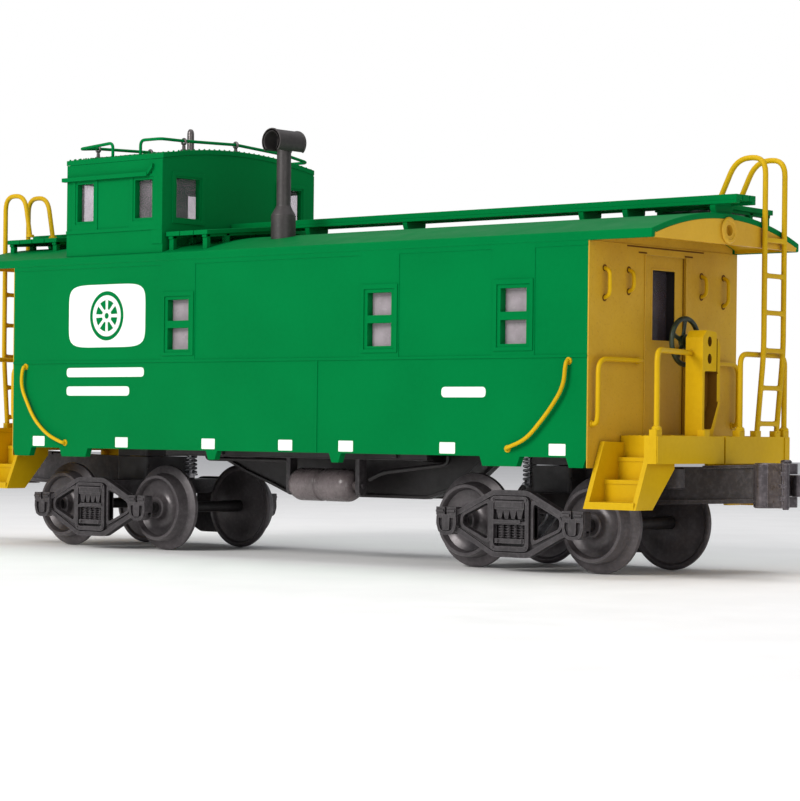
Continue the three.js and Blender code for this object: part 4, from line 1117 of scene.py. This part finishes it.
def stand_channel_shade(centre, _normal):
    """Painted shade: dark brown-yellow inside the channel, the slot and the sight holes."""
    across = centre.y if centre.x > 0 else -centre.y
    inside = 107.7 < abs(centre.x) < 112.3 and -2.4 < across < 3.35 and 31 < centre.z < 53.2
    return 1 if inside else 0


def brake_wheel():
    """A five-spoked hand wheel with a grooved rim, on a shaft that turns in the stand."""
    x, z = HAND_WHEEL_X, HAND_WHEEL_Z
    rim = [(5.4 + 0.6 * math.cos(a), x + 0.62 * math.sin(a)) for a in (2 * math.pi * i / 14 for i in range(14))]
    hand_wheel = Part().lathe("x", rim, (0, z), 60, loop=True)
    hand_wheel.lathe("x", [(0, x - 1.5), (0.6, x - 1.5), (0.7, x - 1.1), (1.5, x - 0.9), (1.7, x - 0.5),
                           (1.7, x + 0.4),
                           (0.85, x + 0.7), (0.78, x + 4.4), (0, x + 4.4)], (0, z), 28)
    for i in range(5):
        angle = i * 2 * math.pi / 5
        spoke = Part()
        stations = [(1, 0.9, -0.5), (2.4, 0.62, -0.35), (3.8, 0.56, -0.1), (5.2, 0.85, 0)]
        spoke.loft([
            [(x + shift + 0.36 * u, 0.9 * width * v, r) for u, v in circle(1, 12)]
            for r, width, shift in stations
        ])
        turn = Matrix.Translation((0, 0, z)) @ Matrix.Rotation(angle, 4, "X")
        hand_wheel.add(spoke.moved(turn))
        knob = Part().ball(0.62, (x, 0, 5.4), 12)
        hand_wheel.add(knob.moved(turn @ Matrix.Rotation(math.pi / 5, 4, "X")))
    return hand_wheel


def side_grab(points):
    """A bent wire grab iron on the right-hand side, with a foot at each end."""
    face, out = -BODY_Y, -BODY_Y - 1.25
    (x0, z0), (x1, z1) = points[0], points[-1]
    path = [(x0, face + 0.3, z0), (x0, out, z0)] + [(x, out, z) for x, z in points[1:-1]]
    path += [(x1, out, z1), (x1, face + 0.3, z1)]
    wire = Part().tube(path, 0.47, bend=3.5)
    for x, z in (points[0], points[-1]):
        wire.rod("y", 0.85, (face - 0.25, face + 0.2), (x, z), 20, 0.95)
    return wire


GRABS = {
    "front": ((94, 46.9), (93.5, 41), (89.2, 35.3), (82.8, 28.8), (76.4, 26.6)),
    "rear": ((-94, 46.9), (-94.6, 41.3), (-89.2, 32.6), (-83.7, 28.4), (-77.6, 26.2)),
}
for end, turned in ENDS.items():
    ladder_y, landing = LADDERS[end]
    piece(f"deck_{end}", platform(ladder_y).moved(turned), YELLOW, f"platform_{end}", bevel=0.18)
    piece(f"end_ladder_{end}", ladder(ladder_y, landing).moved(turned), YELLOW, f"ladder_{end}", bevel=0)
    piece(f"hand_brake_{end}", brake_stand().moved(turned), [YELLOW, CHANNEL_SHADE], f"brake_stand_{end}",
          bevel=0.18, pick=stand_channel_shade)
    piece(f"hand_wheel_{end}", brake_wheel().moved(turned), HAND_WHEEL, f"brake_wheel_{end}", bevel=0)
    shapes = (stand_railing(), hoop_railing()) if end == "front" else (hoop_railing(), stand_railing())
    for side, shape in zip(("right", "left"), shapes):
        piece(f"bent_railing_{end}_{side}", shape.moved(turned), YELLOW, f"railing_{end}_{side}", bevel=0)
    for side, matrix in (("right", Matrix.Identity(4)), ("left", MIRROR)):
        piece(f"grab_iron_{end}_{side}", side_grab(GRABS[end]).moved(matrix), YELLOW,
              f"side_grab_{end}_{side}", bevel=0)

# ---------------------------------------------------------------- trucks

DIAMOND = [(5.2, 1), (15.9, 6.4), (21.9, 6.4), (21.9, 11.8), (15.9, 11.8), (5.2, 16.8)]
TRIANGLE = [(6.8, 4.9), (14.6, 8.2), (14.6, 10.4), (6.8, 13.9)]
JOURNAL_X = WHEELBASE / 2


def flipped(points):
    return [(-x, z) for x, z in reversed(points)]


def side_frame():
    """The left side frame of a truck centred on x = 0: plate, borders and bolts."""
    inner, outer = FRAME_Y
    diamond = DIAMOND + flipped(DIAMOND)
    frame_plate = Part().prism("y", rounded(diamond, 1.0, 3), (inner, outer - 0.7))
    holes = Part()
    for triangle in (TRIANGLE, flipped(TRIANGLE)):
        holes.prism("y", rounded(triangle, 1.1, 4), (inner - 1, outer + 1))
    holes.box((-4.6, 4.6), (inner + 0.7, outer + 1), (3.6, 14.4))
    frame_plate = frame_plate.cut(holes)
    frame_plate.ring("y", rounded(diamond, 1.0, 3), rounded(inset(diamond, 1.15), 0.9, 3),
                     (inner + 0.4, outer))
    for triangle in (TRIANGLE, flipped(TRIANGLE)):
        frame_plate.ring("y", rounded(inset(triangle, -0.65), 1.3, 4), rounded(triangle, 1.1, 4),
                         (inner + 0.4, outer - 0.15))
    border = rectangle((-5.8, 5.8), (2.5, 15.4))
    frame_plate.ring("y", rounded(border, 1.6), rounded(inset(border, 1.05), 1.0),
                     (inner + 0.3, outer + 0.35))
    for x in (-5.3, 5.3):
        for z in (3.4, 14.6):
            frame_plate.rod("y", 0.36, (outer, outer + 0.6), (x * 0.93, z), 6)
    return frame_plate


def bolster_end():
    """The window in the middle of the side frame: bolster end over a row of coil springs."""
    inner, outer = FRAME_Y
    nest = Part().box((-4.4, 4.4), (inner + 0.3, outer + 0.35), (12.3, 14.6))
    nest.box((-3.9, 3.9), (outer - 0.2, outer + 0.55), (12.9, 14.1))
    for x in (-3, -1, 1, 3):
        wedge = [(x - 1, 12.3), (x - 0.45, 10.1), (x + 0.45, 10.1), (x + 1, 12.3)]
        nest.prism("y", wedge, (inner + 0.5, outer + 0.1))
        for i in range(5):
            z = 5.75 + i * 0.62
            nest.lathe("z", [(0.4, z - 0.2), (0.86, z - 0.12), (0.95, z), (0.86, z + 0.12), (0.4, z + 0.2)],
                       (x, outer - 1.05), 18, loop=True)
        nest.rod("z", 0.5, (5.2, 9), (x, outer - 1.05), 14)
    nest.box((-4.4, 4.4), (inner + 0.3, outer + 0.2), (4.3, 5.4))
    nest.box((-4.7, 4.7), (inner + 0.3, outer + 0.3), (8.75, 9.4))
    nest.prism("y", rounded(rectangle((-4.9, 3.6), (9.1, 9.85)), 0.3, 3), (outer - 0.2, outer + 0.7))
    for x in (-3.6, 3.6):
        nest.rod("y", 0.4, (outer + 0.2, outer + 0.55), (x, 4.85), 6)
    return nest


def journal_box(x):
    """A box rounded at the foot: a hinge block above, a U-shaped rim and a tongue below."""
    inner, outer = FRAME_Y
    z = AXLE_Z
    foot = [(3.1, -0.6), (2.4, -2.6), (0.95, -3.3), (-0.95, -3.3), (-2.4, -2.6), (-3.1, -0.6)]
    shell = [(x + u, z + v) for u, v in [(-3.1, 3.35), (-3.1, -0.6), (-2.4, -2.6), (-0.95, -3.3),
                                         (0.95, -3.3),
                                          (2.4, -2.6), (3.1, -0.6), (3.1, 3.35)]]
    box = Part().prism("y", rounded(shell, 0.6, 3), (inner, outer + 0.2))
    rim = rounded([(x + u, z + v) for u, v in [(3.0, 1.5)] + foot + [(-3.0, 1.5)]][::-1], 0.5, 3)
    box.ring("y", rim, inset(rim, 0.75), (outer - 0.1, outer + 0.75))
    tongue = [(x - 1.0, z - 2.2), (x + 1.0, z - 2.2), (x + 1.15, z + 1.5), (x - 1.15, z + 1.5)]
    box.prism("y", rounded(tongue, 0.4, 3), (outer - 0.1, outer + 0.85))
    for a, b in ((x - 3.05, x - 0.45), (x + 0.45, x + 3.05)):
        box.box((a, b), (outer - 0.1, outer + 0.8), (z + 1.4, z + 3.35))
        box.rod("x", 0.5, (a + 0.2, b - 0.2), (outer + 0.7, z + 2.4), 12)
    bearing = Part().rod("y", 1.2, (inner - 1, outer - 0.3), (x, z), 28)
    return box.cut(bearing)


def truck_side():
    return side_frame().add(bolster_end(), journal_box(-JOURNAL_X), journal_box(JOURNAL_X))


COUPLER_PIN = (JOINT_AT["knuckle_front_open"].x, JOINT_AT["knuckle_front_open"].y)


def bolster():
    """Bolster, drawbar and coupler head of the front truck."""
    x, half = TRUCK_X, FRAME_Y[0] - 0.05
    outline = [(-half, 14.3), (-14, 12.3), (14, 12.3), (half, 14.3), (half, 16.2), (14, 16.2), (-14, 16.2),
               (-half, 16.2)]
    beam = Part().prism("x", outline, (x - 6.2, x + 6.2))
    tower = rounded(rectangle((x - 6, x + 6), (-9.5, 9.5)), 1.2)
    beam.prism("z", tower, (14.5, 22.5))
    for y in (-8.4, 8.4):
        beam.rod("x", 0.6, (x - 6.35, x + 6.35), (y, 19.4), 6)
    for side in (-1, 1):
        rib = sorted((side * 5.2, side * 6.2))
        beam.box((x - 5.9, x + 5.9), rib, (11.2, 12.6))
        lug = sorted((side * 2.6, side * 3.8))
        beam.prism("y", rounded([(x - 8.6, 10.7), (x - 5, 10.7), (x - 5, 14.6), (x - 8.6, 14.6)], 0.8, 3),
                   lug)
    arm = [(x + 5, 14.2), (101, 14.4), (129.2, 15.3), (129.2, 23.4), (112, 22.9), (x + 5, 22.3)]
    beam.prism("y", arm, (-3.2, 3.2))
    flange = [(x + 7, 13.3), (101, 13.9), (128, 14.9), (128, 15.8), (101, 14.9), (x + 7, 14.2)]
    beam.prism("y", flange, (-3.9, 3.9))
    beam.prism("y", [(113, 22.5), (127.5, 23.0), (127.5, 23.7), (113, 23.2)], (-3.7, 3.7))
    beam.lathe("z", [(0, 17.6), (3.4, 17.6), (3.8, 18.0), (3.8, 22.3), (3.4, 22.7), (0, 22.7)],
               (104.4, -1.4), 40)
    head = [(127.4, -3.6), (128.6, -5.4), (137.6, -6.4), (137.6, -4.6), (131.4, -3.2), (129.8, -0.4),
            (129.8, 1.2),
            (133, 1.2), (134.2, 3.4), (133, 5.6), (129.6, 6.2), (127.4, 4.6)]
    beam.prism("z", rounded(head, 0.7, 4), (14, 14.4, 23.6, 24))
    beam.lathe("z", [(0, 13.9), (2.3, 13.9), (2.6, 14.2), (2.6, 23.8), (2.3, 24.1), (0, 24.1)],
               (130.4, -4), 32)
    for z in (16.2, 19, 21.8):
        beam.lathe("z", [(0.5, z - 0.5), (0.85, z - 0.4), (0.85, z + 0.4), (0.5, z + 0.5)], (136.4, -5.9),
                   20, loop=True)
    beam.rod("z", 0.5, (14.1, 24.3), (136.4, -5.9), 16)
    tools = Part().prism("z", [(128.4, -0.6), (140, -3), (140, 9), (128.4, 9)], (16.4, 21.6))
    tools.rod("z", 0.8, (10, 30), COUPLER_PIN, 24)
    tools.lathe("z", [(0, 5), (2.8, 5), (2.8, 14), (1.3, 14), (1.3, 25), (0, 25)], (x, 0), 32)
    tools.rod("y", 0.6, (-5, 5), (x - 7.4, 11.8), 20)
    return beam.cut(tools)


def bolster_paint(centre, _normal):
    """Truck grey, but the block over the pivot is black and the coupler head is brighter metal."""
    if abs(abs(centre.x) - TRUCK_X) < 6.5 and centre.z > 14.4:
        return 1
    return 2 if abs(centre.x) > 127 else 0


def knuckle_jaw():
    outline = [(129.3, 1.6), (131.2, 1.1), (135.2, 0.7), (136.1, -1.8), (137.6, -2.5), (138.9, -1.4),
               (139.1, 2.3),
               (137, 4.9), (133.4, 5.7), (130.3, 5.3), (129.3, 4)]
    jaw = Part().prism("z", rounded(outline, 0.7, 4), (16.6, 16.95, 21.05, 21.4))
    return jaw.cut(Part().rod("z", 0.8, (10, 30), COUPLER_PIN, 24))


def knuckle_pin():
    return Part().lathe("z", [(0, 13.4), (0.7, 13.4), (0.7, 24.02), (1.3, 24.05), (1.3, 24.5), (1, 24.8),
                              (0, 24.85)],
                        COUPLER_PIN, 28)


def pivot_screw():
    head = Part().lathe("z", [(0, 12.3), (2.1, 12.3), (2.4, 12.6), (2.4, 13.95), (1.2, 13.95), (1.2, 26.4),
                              (0, 26.4)],
                        (TRUCK_X, 0), 36)
    slots = Part().box((TRUCK_X - 1.6, TRUCK_X + 1.6), (-0.28, 0.28), (11, 12.95))
    slots.box((TRUCK_X - 0.28, TRUCK_X + 0.28), (-1.6, 1.6), (11, 12.95))
    return head.cut(slots)


def wheel():
    """The left wheel, on the Y axis: deep dish, thick tyre, flange at the back."""
    bore = 1.65
    profile = [(bore, 13.4), (6.2, 13.5), (6.8, 13.9), (9.8, 13.9), (10.4, 13.4), (11.1, 13.4),
               (11.4, 13.6), (11.5, 14),
               (11.3, 14.5), (10.2, 14.9), (9.35, 15.1), (9.05, 15.6), (8.85, 17.9), (8.6, 18.3),
               (7.95, 18.3),
               (7.75, 18.1), (7.35, 16.9), (6.2, 16.3), (4.9, 16.0), (3.4, 16.4), (3.0, 16.9), (2.9, 18.3),
               (2.6, 18.6),
               (bore, 18.6)]
    return Part().lathe("y", profile, (0, 0), 72, loop=True)


def axle_shaft():
    profile = [(0, -24), (0.9, -24), (1.1, -23.8), (1.1, -20.3), (1.6, -20.1), (1.6, -7), (1.45, -6.5),
               (1.45, 6.5),
               (1.6, 7), (1.6, 20.1), (1.1, 20.3), (1.1, 23.8), (0.9, 24), (0, 24)]
    return Part().lathe("y", profile, (0, 0), 32)


PICKUP_HINGE = (JOINT_AT["pickup_arm_lift"].x, JOINT_AT["pickup_arm_lift"].z - RAIL_TOP)
ROLLER = (JOINT_AT["pickup_roller_spin"].x, JOINT_AT["pickup_roller_spin"].z - RAIL_TOP)


def pickup_arm():
    (hx, hz), (rx, rz) = PICKUP_HINGE, ROLLER
    cheek = [(rx - 1.4, rz - 0.9), (rx + 1.4, rz - 0.9), (hx + 1, hz - 2), (hx + 1, hz + 1),
             (hx - 1, hz + 1),
             (rx - 1.4, rz + 1)]
    arm = Part()
    for span in ((-2.4, -1.6), (1.6, 2.4)):
        arm.prism("y", rounded(cheek, 0.7, 3), span)
    arm.box((hx - 2.4, hx - 0.6), (-2, 2), (hz - 1.4, hz - 0.4))
    arm.rod("y", 0.5, (-3.8, 3.8), (hx, hz), 20)
    arm.rod("y", 0.4, (-2.55, 2.55), (rx, rz), 18)
    return arm


def pickup_roller():
    profile = [(0.5, -1.5), (2.5, -1.5), (2.9, -1.2), (2.9, -0.5), (2.75, -0.3), (2.75, 0.3), (2.9, 0.5),
               (2.9, 1.2),
               (2.5, 1.5), (0.5, 1.5)]
    return Part().lathe("y", profile, ROLLER, 44, loop=True)


for end, turned in ENDS.items():
    swing = turned @ Matrix.Translation((TRUCK_X, 0, 0))
    left, right = ("left", "right") if end == "front" else ("right", "left")
    side = truck_side()
    piece(f"truck_side_{end}_{left}", side.moved(swing), TRUCK, f"side_frame_{end}_{left}", bevel=0.1)
    piece(f"truck_side_{end}_{right}", side.moved(swing @ MIRROR), TRUCK, f"side_frame_{end}_{right}",
          bevel=0.1)
    piece(f"bolster_{end}", bolster().moved(turned), [TRUCK, BLACK, COUPLER], f"truck_bolster_{end}",
          bevel=0.12,
          pick=bolster_paint)
    piece(f"coupler_jaw_{end}", knuckle_jaw().moved(turned), COUPLER, f"knuckle_{end}", bevel=0.12)
    piece(f"coupler_pin_{end}", knuckle_pin().moved(turned), COUPLER, f"knuckle_pin_{end}", bevel=0)
    piece(f"truck_screw_{end}", pivot_screw().moved(turned), STEEL, f"pivot_screw_{end}", bevel=0.05)
    for which, offset in (("outer", JOURNAL_X), ("inner", -JOURNAL_X)):
        at = turned @ Matrix.Translation((TRUCK_X + offset, 0, AXLE_Z))
        piece(f"turned_axle_{end}_{which}", axle_shaft().moved(at), SHADED_AXLE_STEEL, f"axle_{end}_{which}",
              bevel=0)
        piece(f"cast_wheel_{end}_{which}_{left}", wheel().moved(at), WHEEL, f"wheel_{end}_{which}_{left}",
              bevel=0)
        piece(f"cast_wheel_{end}_{which}_{right}", wheel().moved(at @ MIRROR), WHEEL,
              f"wheel_{end}_{which}_{right}", bevel=0)
piece("pickup_lever", pickup_arm(), STEEL, "pickup_arm", bevel=0.08)
piece("pickup_wheel", pickup_roller(), STEEL, "pickup_roller", bevel=0)

# ---------------------------------------------------------------- floor, light and camera

ground = Surface("pale_floor")
shade = ground.mix(ground.span(ground.noise(30, 3.0), 0.3, 0.7, 0.0, 1.0), srgb(252, 251, 250),
                   srgb(247, 246, 245))
ground.bump(ground.noise(3, 3.0), 0.02)
ground.finish(shade, ground.span(ground.noise(12, 2.0), 0.3, 0.7, 0.6, 0.8), specular=0.2)

bpy.ops.mesh.primitive_plane_add(size=4, location=(0, 0, 0))
floor = bpy.context.object
floor.name = "studio_floor"
floor.data.materials.append(ground.material)


def soft_light(name, place, aim, size, watts, colour=(1, 1, 1)):
    lamp = bpy.data.lights.new(name, "AREA")
    lamp.shape = "DISK"
    lamp.size = size
    lamp.energy = watts
    lamp.color = colour
    item = bpy.data.objects.new(name, lamp)
    item.location = Vector(place) * MM
    item.rotation_euler = (Vector(aim) - Vector(place)).to_track_quat("-Z", "Y").to_euler()
    bpy.context.scene.collection.objects.link(item)


soft_light("key", (-140, -970, 560), (0, 0, 50), 0.55, 8.6, (1.0, 0.985, 0.96))
soft_light("fill", (900, -420, 260), (20, 0, 40), 0.6, 1.4, (1.0, 0.98, 0.97))
soft_light("top", (60, 120, 900), (0, 0, 60), 0.7, 3.0, (1.0, 1.0, 1.0))

world = bpy.data.worlds.new("studio")
bpy.context.scene.world = world
world.use_nodes = True
tree = world.node_tree
tree.nodes.clear()
around = tree.nodes.new("ShaderNodeBackground")
around.inputs["Color"].default_value = (0.93, 0.95, 1.0, 1)
around.inputs["Strength"].default_value = 0.42
behind = tree.nodes.new("ShaderNodeBackground")
behind.inputs["Color"].default_value = (1, 1, 1, 1)
path = tree.nodes.new("ShaderNodeLightPath")
choose = tree.nodes.new("ShaderNodeMixShader")
out = tree.nodes.new("ShaderNodeOutputWorld")
tree.links.new(path.outputs["Is Camera Ray"], choose.inputs[0])
tree.links.new(around.outputs["Background"], choose.inputs[1])
tree.links.new(behind.outputs["Background"], choose.inputs[2])
tree.links.new(choose.outputs["Shader"], out.inputs["Surface"])

bpy.context.scene.view_settings.view_transform = "Standard"
bpy.context.scene.view_settings.look = "None"

WIDTH, HEIGHT = 800, 801
FOCAL_PX, CENTRE_ROW, ROLL = 2612.7, 425.87, math.radians(0.62)
CAMERA_AT = Vector((457.97, -504.60, 31.10 + RAIL_TOP))
CAMERA_AIM = Vector((16.9, 0, 31.7 + RAIL_TOP))
lens = bpy.data.cameras.new("camera")
lens.sensor_width = 36
lens.lens = 36 * FOCAL_PX / WIDTH
lens.shift_y = (CENTRE_ROW - HEIGHT / 2) / WIDTH
lens.clip_start = 0.02
camera = bpy.data.objects.new("camera", lens)
camera.location = CAMERA_AT * MM
camera.rotation_euler = (CAMERA_AIM - CAMERA_AT).to_track_quat("-Z", "Y").to_euler()
camera.rotation_euler.rotate_axis("Z", ROLL)
bpy.context.scene.collection.objects.link(camera)
bpy.context.scene.camera = camera
